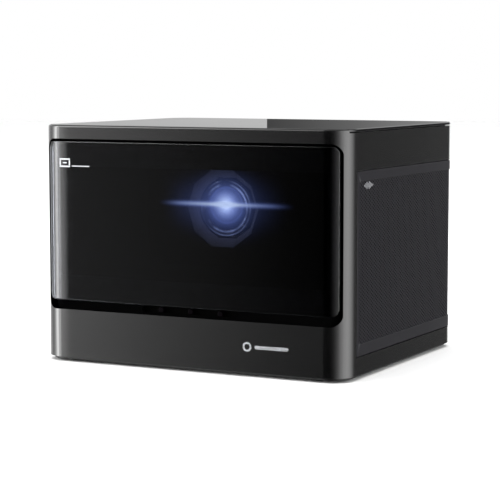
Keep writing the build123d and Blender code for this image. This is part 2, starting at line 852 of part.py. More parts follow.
# ---- cooling fans --------------------------------------------------------------------------------
def fan_frame(x):
    back = panel_back_y
    frame = along_y(RectangleRounded(fan_size, fan_size, fan_corner_r), (back - fan_t, back), x, fan_z)
    frame -= along_y(Circle(fan_bore_r), (back - fan_t - 1, back + 1), x, fan_z)
    spoke = Rectangle(2 * fan_bore_r + 1, fan_spoke_w)
    spokes = Circle(fan_hub_r)
    for index in range(fan_spokes // 2):
        spokes += Rot(0, 0, 45 + 90 * index) * spoke
    spokes &= Circle(fan_bore_r + 1)
    frame += along_y(spokes, (back - fan_t, back - fan_t + fan_spoke_t), x, fan_z)
    return frame - along_y(Circle(fan_shaft_r + slip), (back - fan_t - 1, back), x, fan_z)


def fan_rotor(x):
    back = panel_back_y
    hub_low = back - fan_t + fan_spoke_t + 2 * gap
    hub = along_y(Circle(fan_hub_r), (hub_low, hub_low + fan_hub_t - 2 * gap), x, fan_z)
    rotor = hub + along_y(Circle(fan_shaft_r), (back - fan_t + gap, hub_low + 1), x, fan_z)
    blade_w = (fan_hub_t - 4 * gap) / sin(radians(fan_blade_pitch)) / blade_lean
    blade = Box(fan_rotor_r - fan_hub_r + 2, fan_blade_t, blade_w)
    blade = Rot(fan_blade_pitch, 0, 0) * Pos((fan_hub_r + fan_rotor_r) / 2 - 1, 0, 0) * blade
    middle = hub_low + fan_hub_t / 2 - gap
    limit = along_y(Circle(fan_rotor_r), (hub_low, hub_low + fan_hub_t - 2 * gap), x, fan_z)
    for index in range(fan_blades):
        turned = Rot(90, 0, 0) * Rot(0, 0, 360 * index / fan_blades) * blade
        rotor += (Pos(x, middle, fan_z) * turned) & limit
    return rotor


# ---- speakers, drawn on the right and mirrored to the left ---------------------------------------
def speaker_centre():
    return ((box_y[0] + box_y[1]) / 2, (box_z[0] + box_z[1]) / 2)


def speaker_box():
    y, z = speaker_centre()
    shrunk = [(low + box_wall, high - box_wall) for low, high in (box_x, box_y, box_z)]
    box = block(box_x, box_y, box_z) - block(*shrunk)
    return box - along_x(Circle(basket_hole_r + slip), (box_x[1] - box_wall - 1, box_x[1] + 1), y, z)


def speaker_basket():
    y, z = speaker_centre()
    face_x = box_x[1]
    inner_r = basket_hole_r - basket_wall / 4
    basket = along_x(Circle(basket_r), (face_x, face_x + basket_flange_t), y, z)
    basket += along_x(Circle(basket_hole_r), (face_x - basket_depth, face_x), y, z)
    basket -= along_x(Circle(inner_r), (face_x - basket_depth + box_wall, face_x + reach), y, z)
    magnet_low = face_x - basket_depth - magnet_t
    basket += along_x(Circle(magnet_r), (magnet_low, face_x - basket_depth), y, z)
    slot = Circle(coil_r + coil_gap) - Circle(coil_r - coil_t - coil_gap)
    return basket - along_x(slot, (magnet_low + coil_back / 2, face_x), y, z)


def speaker_cone():
    """The moving part, turned about its axis: rolled surround, paper cone, dust cap and coil tube."""
    y, z = speaker_centre()
    rim_r = cone_r + 2 * surround_r
    mouth_x = box_x[1] - cone_set
    neck_x = mouth_x - cone_depth
    coil_end = box_x[1] - basket_depth - magnet_t + coil_back
    coil_inner = coil_r - coil_t
    back_side = Polyline(
        (mouth_x, rim_r),
        (mouth_x, cone_r),
        (neck_x, coil_r),
        (coil_end, coil_r),
        (coil_end, coil_inner),
        (neck_x, coil_inner),
    )
    cap_inside = TangentArc((neck_x + cap_h, 0), (neck_x, coil_inner), tangent=(0, 1))
    apex = Line((neck_x + cap_h, 0), (neck_x + cap_h + cone_t, 0))
    cap_outside = TangentArc((neck_x + cap_h + cone_t, 0), (neck_x + cone_t, coil_r), tangent=(0, 1))
    front_side = Polyline(
        (neck_x + cone_t, coil_r),
        (mouth_x + cone_t, cone_r),
        (mouth_x + cone_t, rim_r),
        (mouth_x, rim_r),
    )
    cone = revolve(make_face([back_side, cap_inside, apex, cap_outside, front_side]), Axis.X)
    roll = revolve(Pos(mouth_x + cone_t, cone_r + surround_r) * Circle(surround_r), Axis.X)
    return Pos(0, y, z) * (cone + roll)


# ---- connectors and power button -----------------------------------------------------------------
def io_panel():
    w = io_wall
    y_span = (io_floor_y - io_floor_t, panel_back_y)
    outer = block((io_x[0] - w, io_x[1] + w), y_span, (io_z[0] - w, io_z[1] + w))
    panel = outer - block(io_x, (io_floor_y, back_y), io_z)
    cut = (0, back_y)
    for x in hdmi_x:
        panel -= along_y(socket_face(hdmi_hole, socket_wall + fit_hole), cut, x, socket_z)
    for x in usb_x:
        panel -= along_y(socket_face(usb_hole, socket_wall + fit_hole), cut, x, socket_z)
    panel -= along_y(socket_face(lan_hole, 2 * socket_wall + fit_hole), cut, lan_x, socket_z)
    panel -= along_y(Circle(dc_r + fit_hole), cut, dc_x, socket_z)
    return panel - along_y(Circle(jack_r + fit_hole), cut, jack_x, socket_z)


def socket_face(hole, grow):
    wide, high = hole
    return Rectangle(wide + 2 * grow, high + 2 * grow)


def socket(x, hole, thickness, tongue_z):
    """A connector shell with a tongue, mouth flush with the connector panel's floor."""
    start = board_y + board_t
    shell = along_y(socket_face(hole, thickness), (start, io_floor_y), x, socket_z)
    shell -= along_y(socket_face(hole, 0), (start + socket_back, back_y), x, socket_z)
    tongue = Rectangle(hole[0] * tongue_share, tongue_t)
    return shell + along_y(tongue, (start, io_floor_y - tongue_set), x, socket_z + tongue_z)


def hdmi_sockets():
    return Compound([socket(x, hdmi_hole, socket_wall, 0) for x in hdmi_x])


def usb_sockets():
    raised = (usb_hole[1] - 2 * tongue_t) / 4
    return Compound([socket(x, usb_hole, socket_wall, raised) for x in usb_x])


def lan_socket():
    return socket(lan_x, lan_hole, 2 * socket_wall, lan_hole[1] / 2 - tongue_t)


def dc_inlet():
    start = board_y + board_t
    body = along_y(Circle(dc_r), (start, io_floor_y), dc_x, socket_z)
    body -= along_y(Circle(dc_hole_r), (start + socket_back, back_y), dc_x, socket_z)
    return body + along_y(Circle(dc_pin_r), (start, io_floor_y - 1), dc_x, socket_z)


def audio_jack():
    start = board_y + board_t
    body = along_y(Circle(jack_r), (start, io_floor_y), jack_x, socket_z)
    return body - along_y(Circle(jack_hole_r), (start + socket_back, back_y), jack_x, socket_z)


def main_board():
    wide, high = board_size
    return along_y(Rectangle(wide, high), (board_y, board_y + board_t), 0, board_z + high / 2)


def switch_mouth():
    return board_y + board_t + switch_t


def power_button():
    flange_back = panel_back_y - button_flange_t
    cap = along_y(Circle(button_r), (panel_back_y, back_y - button_set), button_x, socket_z)
    cap = fillet(cap.edges().group_by(Axis.Y)[-1], button_edge_r)
    cap += along_y(Circle(button_flange_r), (flange_back, panel_back_y), button_x, socket_z)
    stem = along_y(Circle(button_stem_r), (switch_mouth() - button_end, flange_back), button_x, socket_z)
    return cap + stem


def power_switch():
    start = board_y + board_t
    face = Rectangle(2 * switch_half, 2 * switch_half)
    body = along_y(face, (start, switch_mouth()), button_x, socket_z)
    bore = (switch_mouth() - button_end - switch_depth, switch_mouth() + 1)
    return body - along_y(Circle(button_stem_r + 2 * slip), bore, button_x, socket_z)


# ---- the assembly --------------------------------------------------------------------------------
parts = {
    "front_frame": front_frame(),
    "main_shell": main_shell(),
    "top_glass": top_glass(),
    "top_tape": top_tape(),
    "front_glass": front_glass(),
    "glass_tape": glass_tape(),
    "front_baffle": front_baffle(),
    "front_emblem": emblem_shape(),
    "rear_cover": rear_cover(),
    "rear_grille": rear_grille(),
    "side_grille_right": side_grille_right(),
    "side_grille_left": mirrored(side_grille_right()),
    "base_tray": base_tray(),
    "feet": feet(),
    "tripod_insert": tripod_insert(),
    "base_screws": base_screws(),
    "rear_screws": rear_screws(),
    "sensor_board": sensor_board_piece(),
    "sensor_windows": sensor_windows(),
    "lens_hood": lens_hood(),
    "focus_cell": focus_cell(),
    "front_lens": front_lens(),
    "lens_barrel": lens_barrel(),
    "rear_lens": rear_lens(),
    "engine_screws": engine_screws(),
    "focus_gear": focus_gear(),
    "focus_pinion": focus_pinion(),
    "focus_motor": focus_motor(),
    "engine_housing": engine_housing(),
    "engine_cover": engine_cover(),
    "prism_block": prism_block(),
    "dmd_board": dmd_board(),
    "dmd_heat_sink": dmd_heat_sink(),
    "shift_frame": shift_frame(),
    "shift_plate": shift_plate(),
    "phosphor_wheel": phosphor_wheel(),
    "wheel_motor": wheel_motor(),
    "relay_lens": relay_lens(),
    "laser_module": laser_module(),
    "laser_heat_sink": laser_heat_sink(),
    "heat_pipes": heat_pipes(),
    "fan_frame_left": fan_frame(-fan_x),
    "fan_frame_right": fan_frame(fan_x),
    "fan_rotor_left": fan_rotor(-fan_x),
    "fan_rotor_right": fan_rotor(fan_x),
    "speaker_box_right": speaker_box(),
    "speaker_box_left": mirrored(speaker_box()),
    "speaker_basket_right": speaker_basket(),
    "speaker_basket_left": mirrored(speaker_basket()),
    "speaker_cone_right": speaker_cone(),
    "speaker_cone_left": mirrored(speaker_cone()),
    "io_panel": io_panel(),
    "main_board": main_board(),
    "hdmi_sockets": hdmi_sockets(),
    "usb_sockets": usb_sockets(),
    "lan_socket": lan_socket(),
    "dc_inlet": dc_inlet(),
    "audio_jack": audio_jack(),
    "power_button": power_button(),
    "power_switch": power_switch(),
}

os.makedirs("parts", exist_ok=True)
for name, solid in parts.items():
    solid.label = name
    export_step(solid, f"parts/{name}.step")
print(len(parts), "nodes")
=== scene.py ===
"""Looks of the home projector: shell, wrapped glass, perforated sides, glowing lens and studio stage."""

from functools import partial, reduce
from math import asin, cos, pi, radians, sin

import bmesh
import bpy
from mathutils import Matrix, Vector


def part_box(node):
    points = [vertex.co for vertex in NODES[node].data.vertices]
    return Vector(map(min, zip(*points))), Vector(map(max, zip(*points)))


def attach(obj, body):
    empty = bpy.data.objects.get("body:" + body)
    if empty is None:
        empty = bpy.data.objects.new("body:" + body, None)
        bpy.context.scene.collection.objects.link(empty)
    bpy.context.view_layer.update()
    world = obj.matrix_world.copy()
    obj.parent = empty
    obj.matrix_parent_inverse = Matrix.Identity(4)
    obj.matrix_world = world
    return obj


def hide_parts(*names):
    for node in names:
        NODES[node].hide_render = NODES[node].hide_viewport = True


bl_info = {
    "name": "Home projector looks",
    "version": (1, 0, 0),
    "blender": (4, 5, 0),
    "location": "3D View > Sidebar > Projector",
    "description": "Builds the finished surfaces of a home projector around its CAD frame",
    "category": "Object",
}

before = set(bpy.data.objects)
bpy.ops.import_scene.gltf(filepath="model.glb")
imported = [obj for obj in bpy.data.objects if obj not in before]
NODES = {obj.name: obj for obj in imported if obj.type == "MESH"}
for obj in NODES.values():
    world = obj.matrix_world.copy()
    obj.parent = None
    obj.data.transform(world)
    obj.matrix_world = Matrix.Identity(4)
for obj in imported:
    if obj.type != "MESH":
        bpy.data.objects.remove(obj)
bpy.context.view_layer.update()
MM = 0.001

# ---- places read from the frame, in metres ---------------------------------------------------
SHELL_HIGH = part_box("main_shell")[1]
GLASS_LOW, GLASS_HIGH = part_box("front_glass")
GRILLE_LOW, GRILLE_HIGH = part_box("side_grille_right")
REAR_LOW, REAR_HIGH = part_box("rear_grille")
LENS_LOW, LENS_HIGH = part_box("front_lens")
HALF_W = SHELL_HIGH.x
FRONT_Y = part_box("front_frame")[0].y
BACK_Y = SHELL_HIGH.y
LENS_X = (LENS_LOW.x + LENS_HIGH.x) / 2
LENS_Z = (LENS_LOW.z + LENS_HIGH.z) / 2
SIDES = ((1.0, "right"), (-1.0, "left"))

# ---- how finely the shapes are made ----------------------------------------------------------
ARC_STEPS = 6
HOLE_SIDES = 8
# A round of that many sides, stretched this much and then cut off at 1, becomes a square.
SQUARE_STRETCH = 1.5
# Points closer than these are merged: in a new mesh, in a CAD or baked one, and between cells.
WELD = 0.001 * MM
CAD_WELD = 0.002 * MM
CELL_WELD = 0.005 * MM
# Angles in degrees: below FLAT_ANGLE two faces are one, above EDGE_ANGLE a mould's edge is rounded,
# and above the last two a shaded edge is sharp.
FLAT_ANGLE = 0.6
EDGE_ANGLE = 32.0
SHEET_ANGLE = 30.0
BORDER_ANGLE = 40.0


# ---- settings --------------------------------------------------------------------------------
def length(name, description, default):
    return bpy.props.FloatProperty(
        name=name, description=description, default=default, min=0.0, unit="LENGTH", precision=5
    )


def colour(name, description, default):
    return bpy.props.FloatVectorProperty(
        name=name, description=description, default=default, size=3, min=0.0, subtype="COLOR"
    )


class ProjectorSizes(bpy.types.PropertyGroup):
    """Sizes of the finished surfaces."""

    corner_r: length("Corner radius", "Radius of the shell's upright corners", 17 * MM)
    edge_r: length("Edge rounding", "Rounding of the moulded shell's edges", 0.35 * MM)
    glass_t: length("Glass thickness", "Thickness of the front glass", 3.0 * MM)
    glass_r: length("Glass corner", "Corner radius of the front glass", 5.5 * MM)
    glass_edge: length("Glass edge", "Rounding of the front glass's edges", 0.8 * MM)
    glass_inset: length("Glass inset", "How far the glass lies behind the frame's face", 0.2 * MM)
    cell_w: length("Hole spacing", "Distance between columns of perforations", 2.3 * MM)
    cell_h: length("Row spacing", "Distance between perforations in a column", 2.66 * MM)
    hole_r: length("Hole radius", "Radius of a perforation in the sides", 0.70 * MM)
    sheet_t: length("Sheet thickness", "Thickness of the perforated sheets", 0.8 * MM)
    border: length("Plain border", "Height of the plain border of the side grilles", 7.2 * MM)
    side_border: length("Upright border", "Width of the side grilles' upright borders", 4.0 * MM)
    roll_r: length("Rolled edge", "Rounding of the side grilles' outer edges", 1.1 * MM)
    sheet_set: length("Sheet setback", "How far the perforated sheet lies behind its border", 0.5 * MM)
    rear_cell_w: length("Rear hole spacing", "Distance between the rear grille's holes", 3.5 * MM)
    rear_cell_h: length("Rear row spacing", "Distance between the rear grille's rows", 3.03 * MM)
    rear_hole_r: length("Rear hole radius", "Radius of a hole in the rear grille", 1.15 * MM)
    screw_head_r: length("Screw head radius", "Radius of the cover screws' heads", 2.8 * MM)


class ProjectorColours(bpy.types.PropertyGroup):
    """Colours of the finished surfaces."""

    shell: colour("Shell", "Satin plastic of the shell", (0.0022, 0.0022, 0.0023))
    base: colour("Base", "Matt plastic of the base and rear panel", (0.004, 0.004, 0.0043))
    grille: colour("Grille", "Painted metal of the grilles", (0.0062, 0.0057, 0.0085))
    glass: colour("Glass tint", "Tint of the front glass", (0.22, 0.23, 0.26))
    plate: colour("Top plate", "Back-painted top glass", (0.004, 0.004, 0.0045))
    # The colours of the painted lens glow.
    glow: colour("Glow", "Light that leaves the lens", (0.22, 0.33, 0.95))
    core: colour("Core", "Hot middle of the lens light", (0.62, 0.74, 1.0))
    marks: colour("Marks", "Printed marks", (0.62, 0.63, 0.66))


def sizes():
    return bpy.context.scene.projector_sizes


def colours():
    return bpy.context.scene.projector_colours


# ---- node helpers ----------------------------------------------------------------------------
def join(tree, value, socket):
    """Gives a socket its value: a link from another socket, or a number, vector or colour."""
    if isinstance(value, bpy.types.NodeSocket):
        tree.links.new(value, socket)
    else:
        socket.default_value = (*value, 1.0) if socket.type == "RGBA" else value


def add(tree, kind, inputs=None, **settings):
    """One node, with its settings, and the values of its inputs by name or number."""
    made = tree.nodes.new(kind)
    for key, value in settings.items():
        setattr(made, key, value)
    for key, value in (inputs or {}).items():
        join(tree, value, made.inputs[key])
    return made


def first(tree, kind, inputs=None, **settings):
    """The first output of a new node."""
    return add(tree, kind, inputs, **settings).outputs[0]


def math_of(tree, operation, a, b=0.0, clamp=False):
    return first(tree, "ShaderNodeMath", {0: a, 1: b}, operation=operation, use_clamp=clamp)


def times(tree, *values):
    """All the values multiplied together."""
    return reduce(partial(math_of, tree, "MULTIPLY"), values)


def plus(tree, *values):
    """All the values added up."""
    return reduce(partial(math_of, tree, "ADD"), values)


def minus(tree, a, b):
    return math_of(tree, "SUBTRACT", a, b)


def ramp(tree, value, start, end, low=0.0, high=1.0, kind="LINEAR"):
    """low where value is at start, high where it is at end, and held beyond both."""
    inputs = {0: value, 1: start, 2: end, 3: low, 4: high}
    return first(tree, "ShaderNodeMapRange", inputs, interpolation_type=kind)


def vector(tree, x=0.0, y=0.0, z=0.0):
    return first(tree, "ShaderNodeCombineXYZ", {0: x, 1: y, 2: z})


def vector_math(tree, operation, a, b):
    return first(tree, "ShaderNodeVectorMath", {0: a, 1: b}, operation=operation)


def length_of(tree, value):
    return add(tree, "ShaderNodeVectorMath", {0: value}, operation="LENGTH").outputs["Value"]


def parts_of(tree, value):
    """The X, Y and Z of a vector."""
    return add(tree, "ShaderNodeSeparateXYZ", {0: value}).outputs


def object_place(tree):
    """Where the shaded point lies, in the object's own coordinates."""
    return add(tree, "ShaderNodeTexCoord").outputs["Object"]


def noise_of(tree, place, scale, detail, distortion=0.0):
    inputs = {"Vector": place, "Scale": scale, "Detail": detail, "Distortion": distortion}
    return first(tree, "ShaderNodeTexNoise", inputs)


def mix_colours(tree, factor, a, b):
    return add(tree, "ShaderNodeMix", {0: factor, 6: a, 7: b}, data_type="RGBA").outputs[2]


def new_group(name, kind, inputs, outputs):
    """A node group with named sockets, and its input and output nodes."""
    tree = bpy.data.node_groups.new(name, kind)
    for label, socket, default in inputs:
        made = tree.interface.new_socket(label, in_out="INPUT", socket_type=socket)
        if default is not None:
            made.default_value = default
    for label, socket in outputs:
        tree.interface.new_socket(label, in_out="OUTPUT", socket_type=socket)
    return tree, tree.nodes.new("NodeGroupInput").outputs, tree.nodes.new("NodeGroupOutput").inputs


FLOAT = "NodeSocketFloat"


def effect(name, inputs, outputs):
    sockets = [(label, FLOAT, default) for label, default in inputs]
    return new_group(name, "ShaderNodeTree", sockets, [(label, FLOAT) for label in outputs])


# ---- effects shared by the materials ---------------------------------------------------------
# Each pair holds the values between which an effect goes from nothing to full.
RUBBED_POINTS = (0.51, 0.60)
RUBBED_NOISE = (0.38, 0.62)
SPECK_NOISE = (0.56, 0.80)
DUSTY_SLOPES = (0.2, 1.0)
WIPE_NOISE = (0.35, 0.75)


def grain_effect():
    """Moulded or sprayed texture: fine bumps and a slow drift of tone."""
    tree, given, out = effect("Grain", [("Scale", 1500.0), ("Drift", 12.0)], ["Height", "Tone"])
    place = object_place(tree)
    join(tree, noise_of(tree, place, given["Scale"], 3.0), out["Height"])
    join(tree, noise_of(tree, place, given["Drift"], 4.0), out["Tone"])
    return tree


def wear_effect():
    """Rubbed edges, broken up by noise."""
    tree, given, out = effect("Edge wear", [("Amount", 0.5)], ["Mask"])
    point = add(tree, "ShaderNodeNewGeometry").outputs["Pointiness"]
    edge = ramp(tree, point, *RUBBED_POINTS)
    broken = ramp(tree, noise_of(tree, object_place(tree), 160.0, 5.0), *RUBBED_NOISE)
    join(tree, times(tree, edge, broken, given["Amount"]), out["Mask"])
    return tree


def dust_effect():
    """Fine dust that settles on faces that look up."""
    tree, given, out = effect("Dust", [("Amount", 0.3), ("Scale", 420.0)], ["Mask"])
    up = parts_of(tree, add(tree, "ShaderNodeNewGeometry").outputs["Normal"])["Z"]
    speck = ramp(tree, noise_of(tree, object_place(tree), given["Scale"], 6.0), *SPECK_NOISE)
    facing = ramp(tree, up, *DUSTY_SLOPES)
    join(tree, times(tree, speck, facing, given["Amount"]), out["Mask"])
    return tree


def smudge_effect():
    """Faint wiped smears that vary a polished face's roughness."""
    tree, given, out = effect("Smudges", [("Low", 0.02), ("High", 0.06)], ["Roughness"])
    wipes = {0: object_place(tree), 2: (0.0, 0.5, 0.0), 3: (1.0, 1.0, 3.5)}
    noise = noise_of(tree, first(tree, "ShaderNodeMapping", wipes), 14.0, 6.0, distortion=0.8)
    join(tree, ramp(tree, noise, *WIPE_NOISE, given["Low"], given["High"]), out["Roughness"])
    return tree


def brush_effect():
    """Fine parallel scratches: the scales stretch the noise along one way."""
    sockets = [("Across X", 60.0), ("Across Y", 900.0), ("Across Z", 900.0)]
    tree, given, out = effect("Brushing", sockets, ["Height"])
    scale = vector(tree, given["Across X"], given["Across Y"], given["Across Z"])
    stretched = vector_math(tree, "MULTIPLY", object_place(tree), scale)
    join(tree, noise_of(tree, stretched, 1.0, 4.0), out["Height"])
    return tree


def radius_effect():
    """Distance from a line through the lens centre along Y, and its two parts, in millimetres."""
    sockets = [("Centre X", LENS_X), ("Centre Z", LENS_Z)]
    tree, given, out = effect("Lens polar", sockets, ["Radius", "X", "Z"])
    parts = parts_of(tree, object_place(tree))
    across = times(tree, minus(tree, parts["X"], given["Centre X"]), 1 / MM)
    upward = times(tree, minus(tree, parts["Z"], given["Centre Z"]), 1 / MM)
    squares = plus(tree, times(tree, across, across), times(tree, upward, upward))
    join(tree, math_of(tree, "SQRT", squares), out["Radius"])
    join(tree, across, out["X"])
    join(tree, upward, out["Z"])
    return tree


def recess_effect():
    """A mask of the places that lie deep inside the body's outline as seen from above: where the shell gets
    its painted shade.
    """
    sockets = [("From", 0.8 * MM), ("To", 1.2 * MM), ("Top", 165 * MM)]
    tree, given, out = effect("Recess", sockets, ["Mask"])
    parts = parts_of(tree, object_place(tree))
    radius = sizes().corner_r
    over = []
    for part, low, high in ((parts["X"], -HALF_W, HALF_W), (parts["Y"], FRONT_Y, BACK_Y)):
        offset = math_of(tree, "ABSOLUTE", minus(tree, part, (low + high) / 2))
        over.append(minus(tree, offset, (high - low) / 2 - radius))
    squares = [math_of(tree, "POWER", math_of(tree, "MAXIMUM", side, 0.0), 2.0) for side in over]
    outer = math_of(tree, "SQRT", plus(tree, *squares))
    inner = math_of(tree, "MINIMUM", math_of(tree, "MAXIMUM", *over), 0.0)
    depth = minus(tree, radius, plus(tree, outer, inner))
    deep = ramp(tree, depth, given["From"], given["To"])
    below = math_of(tree, "LESS_THAN", parts["Z"], given["Top"])
    join(tree, times(tree, deep, below), out["Mask"])
    return tree


EFFECT_MAKERS = {
    "grain": grain_effect, "wear": wear_effect, "dust": dust_effect, "smudges": smudge_effect,
    "brushing": brush_effect, "lens_polar": radius_effect, "recess": recess_effect,
}
EFFECTS = {}


def use(tree, name, **values):
    """A shared effect placed in a material, with its own values; underscores stand for spaces."""
    if name not in EFFECTS:
        EFFECTS[name] = EFFECT_MAKERS[name]()
    inputs = {key.replace("_", " "): value for key, value in values.items()}
    return add(tree, "ShaderNodeGroup", inputs, node_tree=EFFECTS[name]).outputs


# ---- materials -------------------------------------------------------------------------------
MATERIALS = {}
DUST_TINT = (0.35, 0.34, 0.32)
# The black of the painted shade inside the shell's grooves and behind its walls.
PAINTED_SHADE_BLACK = (0.0006, 0.0006, 0.0006)
BLACK = (0.0, 0.0, 0.0)
BRUSH_RELIEF = 0.01 * MM


def new_material(name):
    material = bpy.data.materials.new(name)
    material.use_nodes = True
    tree = material.node_tree
    tree.nodes.clear()
    shader = tree.nodes.new("ShaderNodeBsdfPrincipled")
    output = tree.nodes.new("ShaderNodeOutputMaterial")
    tree.links.new(shader.outputs[0], output.inputs["Surface"])
    MATERIALS[name] = material
    return tree, shader


def dress(tree, shader, inputs):
    """Gives the shader's sockets their values and links, by name."""
    for key, value in inputs.items():
        join(tree, value, shader.inputs[key])


def bump(tree, shader, height, distance):
    inputs = {"Strength": 1.0, "Distance": distance, "Height": height}
    join(tree, first(tree, "ShaderNodeBump", inputs), shader.inputs["Normal"])


def shades(tint, *factors):
    """The tint made darker or paler by each factor, never brighter than white."""
    return [tuple(min(1.0, part * factor) for part in tint) for factor in factors]


def solid(name, tint, roughness, grain=1500.0, relief=0.02, metallic=0.0, wear=0.3, dust=0.05,
          specular=0.5, coat=0.0):
    """Moulded, cast or painted stock: grain, a slow drift of tone, rubbed edges and settled dust."""
    tree, shader = new_material(name)
    texture = use(tree, "grain", Scale=grain)
    tone = mix_colours(tree, texture["Tone"], *shades(tint, 0.88, 1.14))
    rubbed = tuple(min(1.0, part * 3 + 0.02) for part in tint)
    worn = mix_colours(tree, use(tree, "wear", Amount=wear)["Mask"], tone, rubbed)
    dress(tree, shader, {
        "Base Color": mix_colours(tree, use(tree, "dust", Amount=dust)["Mask"], worn, DUST_TINT),
        "Roughness": ramp(tree, texture["Tone"], 0.0, 1.0, roughness * 0.95, roughness * 1.05),
        "Metallic": metallic, "Specular IOR Level": specular,
        "Coat Weight": coat, "Coat Roughness": 0.025,
    })
    bump(tree, shader, texture["Height"], relief * MM)
    return tree, shader


def satin_shell(name, tint, roughness):
    """Moulded satin shell under a thin clear coat, with painted shade inside its grooves and behind its
    walls: black, metallic and uncoated there, so it neither shows colour nor reflects.
    """
    tree, shader = solid(name, tint, roughness, grain=2400.0, relief=0.005, wear=0.02, dust=0.008,
                         specular=0.30, coat=1.0)
    # Painted shade: deep inside the outline the shell turns black, metallic and uncoated.
    recess = use(tree, "recess")["Mask"]
    painted = shader.inputs["Base Color"].links[0].from_socket
    dress(tree, shader, {
        "Base Color": mix_colours(tree, recess, painted, PAINTED_SHADE_BLACK),
        "Metallic": recess, "Coat Weight": minus(tree, 1.0, recess),
    })


def brushed(name, tint, roughness, along):
    """Brushed or turned bare metal; along holds the noise scales on the three axes."""
    tree, shader = new_material(name)
    lines = use(tree, "brushing", Across_X=along[0], Across_Y=along[1], Across_Z=along[2])["Height"]
    deep, pale, bare = shades(tint, 0.78, 1.12, 1.3)
    worn = use(tree, "wear", Amount=0.4)["Mask"]
    dress(tree, shader, {
        "Base Color": mix_colours(tree, worn, mix_colours(tree, lines, deep, pale), bare),
        "Roughness": ramp(tree, lines, 0.0, 1.0, roughness * 0.75, roughness * 1.3),
        "Metallic": 1.0,
    })
    bump(tree, shader, lines, BRUSH_RELIEF)
    return tree, shader


def port_shell(name, tint, roughness, rim=0.5 * MM):
    """Plated socket shell, bright at its mouth and black deeper in: partly the black moulding and tongue
    inside, partly painted shade inside the socket.
    """
    tree, shader = brushed(name, tint, roughness, (200.0, 90.0, 1600.0))
    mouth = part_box("usb_sockets")[1].y
    plated = math_of(tree, "GREATER_THAN", parts_of(tree, object_place(tree))["Y"], mouth - rim)
    metal = shader.inputs["Base Color"].links[0].from_socket
    # Past the mouth's rim the shell is black and not metallic: the black moulding, and painted shade on the
    # shell's inner walls.
    moulding = (0.008, 0.008, 0.009)
    dress(tree, shader, {
        "Base Color": mix_colours(tree, plated, moulding, metal), "Metallic": plated,
    })


def clear_stock(name, tint, low, high, transmission=1.0, ior=1.5, specular=0.5):
    """Clear or tinted optical stock with faint wipe marks."""
    tree, shader = new_material(name)
    drift = use(tree, "grain", Scale=300.0, Drift=9.0)["Tone"]
    dress(tree, shader, {
        "Base Color": mix_colours(tree, drift, *shades(tint, 0.94, 1.0)),
        "Roughness": use(tree, "smudges", Low=low, High=high)["Roughness"],
        "Transmission Weight": transmission, "IOR": ior, "Specular IOR Level": specular,
    })


def polished_plate(name, tint):
    """Back-painted glass: deep black under a polished face with faint wipe marks and a little dust."""
    tree, shader = new_material(name)
    drift = use(tree, "grain", Scale=900.0, Drift=20.0)["Tone"]
    tone = mix_colours(tree, drift, *shades(tint, 1.0, 1.4))
    dust = use(tree, "dust", Amount=0.05, Scale=700.0)["Mask"]
    dress(tree, shader, {
        "Base Color": mix_colours(tree, dust, tone, (0.3, 0.3, 0.3)),
        "Roughness": use(tree, "smudges", Low=0.012, High=0.04)["Roughness"],
    })


def circuit_board(name, mask_tint, track_tint, pad_tint, roughness=0.35, specular=0.5):
    """Solder mask over copper tracks, with bright pads."""
    tree, shader = new_material(name)
    place = object_place(tree)
    tracks = add(tree, "ShaderNodeTexVoronoi", {"Vector": place, "Scale": 420.0}, distance="MANHATTAN")
    line = ramp(tree, tracks.outputs["Distance"], 0.42, 0.50)
    pads = add(tree, "ShaderNodeTexVoronoi", {"Vector": place, "Scale": 190.0})
    pad = ramp(tree, pads.outputs["Distance"], 0.16, 0.12)
    mask = mix_colours(tree, line, mask_tint, track_tint)
    dress(tree, shader, {
        "Base Color": mix_colours(tree, pad, mask, pad_tint), "Metallic": pad,
        "Roughness": roughness, "Specular IOR Level": specular,
    })
    bump(tree, shader, line, 0.03 * MM)


def cone_paper(name):
    """Pulp cone: fibres and shallow rings about the speaker's axis."""
    tree, shader = new_material(name)
    place = object_place(tree)
    fibres = noise_of(tree, place, 900.0, 6.0, distortion=1.5)
    rings = add(tree, "ShaderNodeTexWave", {"Vector": place, "Scale": 120.0},
                wave_type="RINGS", rings_direction="X").outputs[1]
    dark, pale = (0.012, 0.012, 0.013), (0.035, 0.034, 0.032)
    dress(tree, shader, {"Base Color": mix_colours(tree, fibres, dark, pale), "Roughness": 0.8})
    bump(tree, shader, plus(tree, fibres, times(tree, rings, 0.6)), 0.05 * MM)


def dust_cloth(name):
    """Black filter cloth: a plain weave of fine threads."""
    tree, shader = new_material(name)
    parts = parts_of(tree, object_place(tree))
    threads = 9000.0
    weave = times(tree, *(math_of(tree, "SINE", times(tree, parts[axis], threads)) for axis in "YZ"))
    shade = ramp(tree, weave, -1.0, 1.0)
    dark, pale = (0.002, 0.002, 0.002), (0.006, 0.006, 0.006)
    dress(tree, shader, {
        "Base Color": mix_colours(tree, shade, dark, pale), "Roughness": 0.95, "Specular IOR Level": 0.1,
    })
    bump(tree, shader, weave, 0.1 * MM)


def phosphor(name):
    """Mirror disc with a pale yellow phosphor band near its rim."""
    tree, shader = new_material(name)
    low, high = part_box("phosphor_wheel")
    middle, outer = (low + high) / 2, (high.z - low.z) / 2
    flat = vector_math(tree, "SUBTRACT", object_place(tree), middle)
    flat = vector_math(tree, "MULTIPLY", flat, (0.0, 1.0, 1.0))
    band = ramp(tree, length_of(tree, flat), outer * 0.72, outer * 0.74)
    grains = use(tree, "grain", Scale=2600.0)["Height"]
    mirror = (0.82, 0.83, 0.85)
    yellow = mix_colours(tree, grains, (0.70, 0.55, 0.10), (0.85, 0.75, 0.25))
    dress(tree, shader, {
        "Base Color": mix_colours(tree, band, mirror, yellow),
        "Metallic": minus(tree, 1.0, band),
        "Roughness": plus(tree, times(tree, band, 0.5), 0.08),
    })


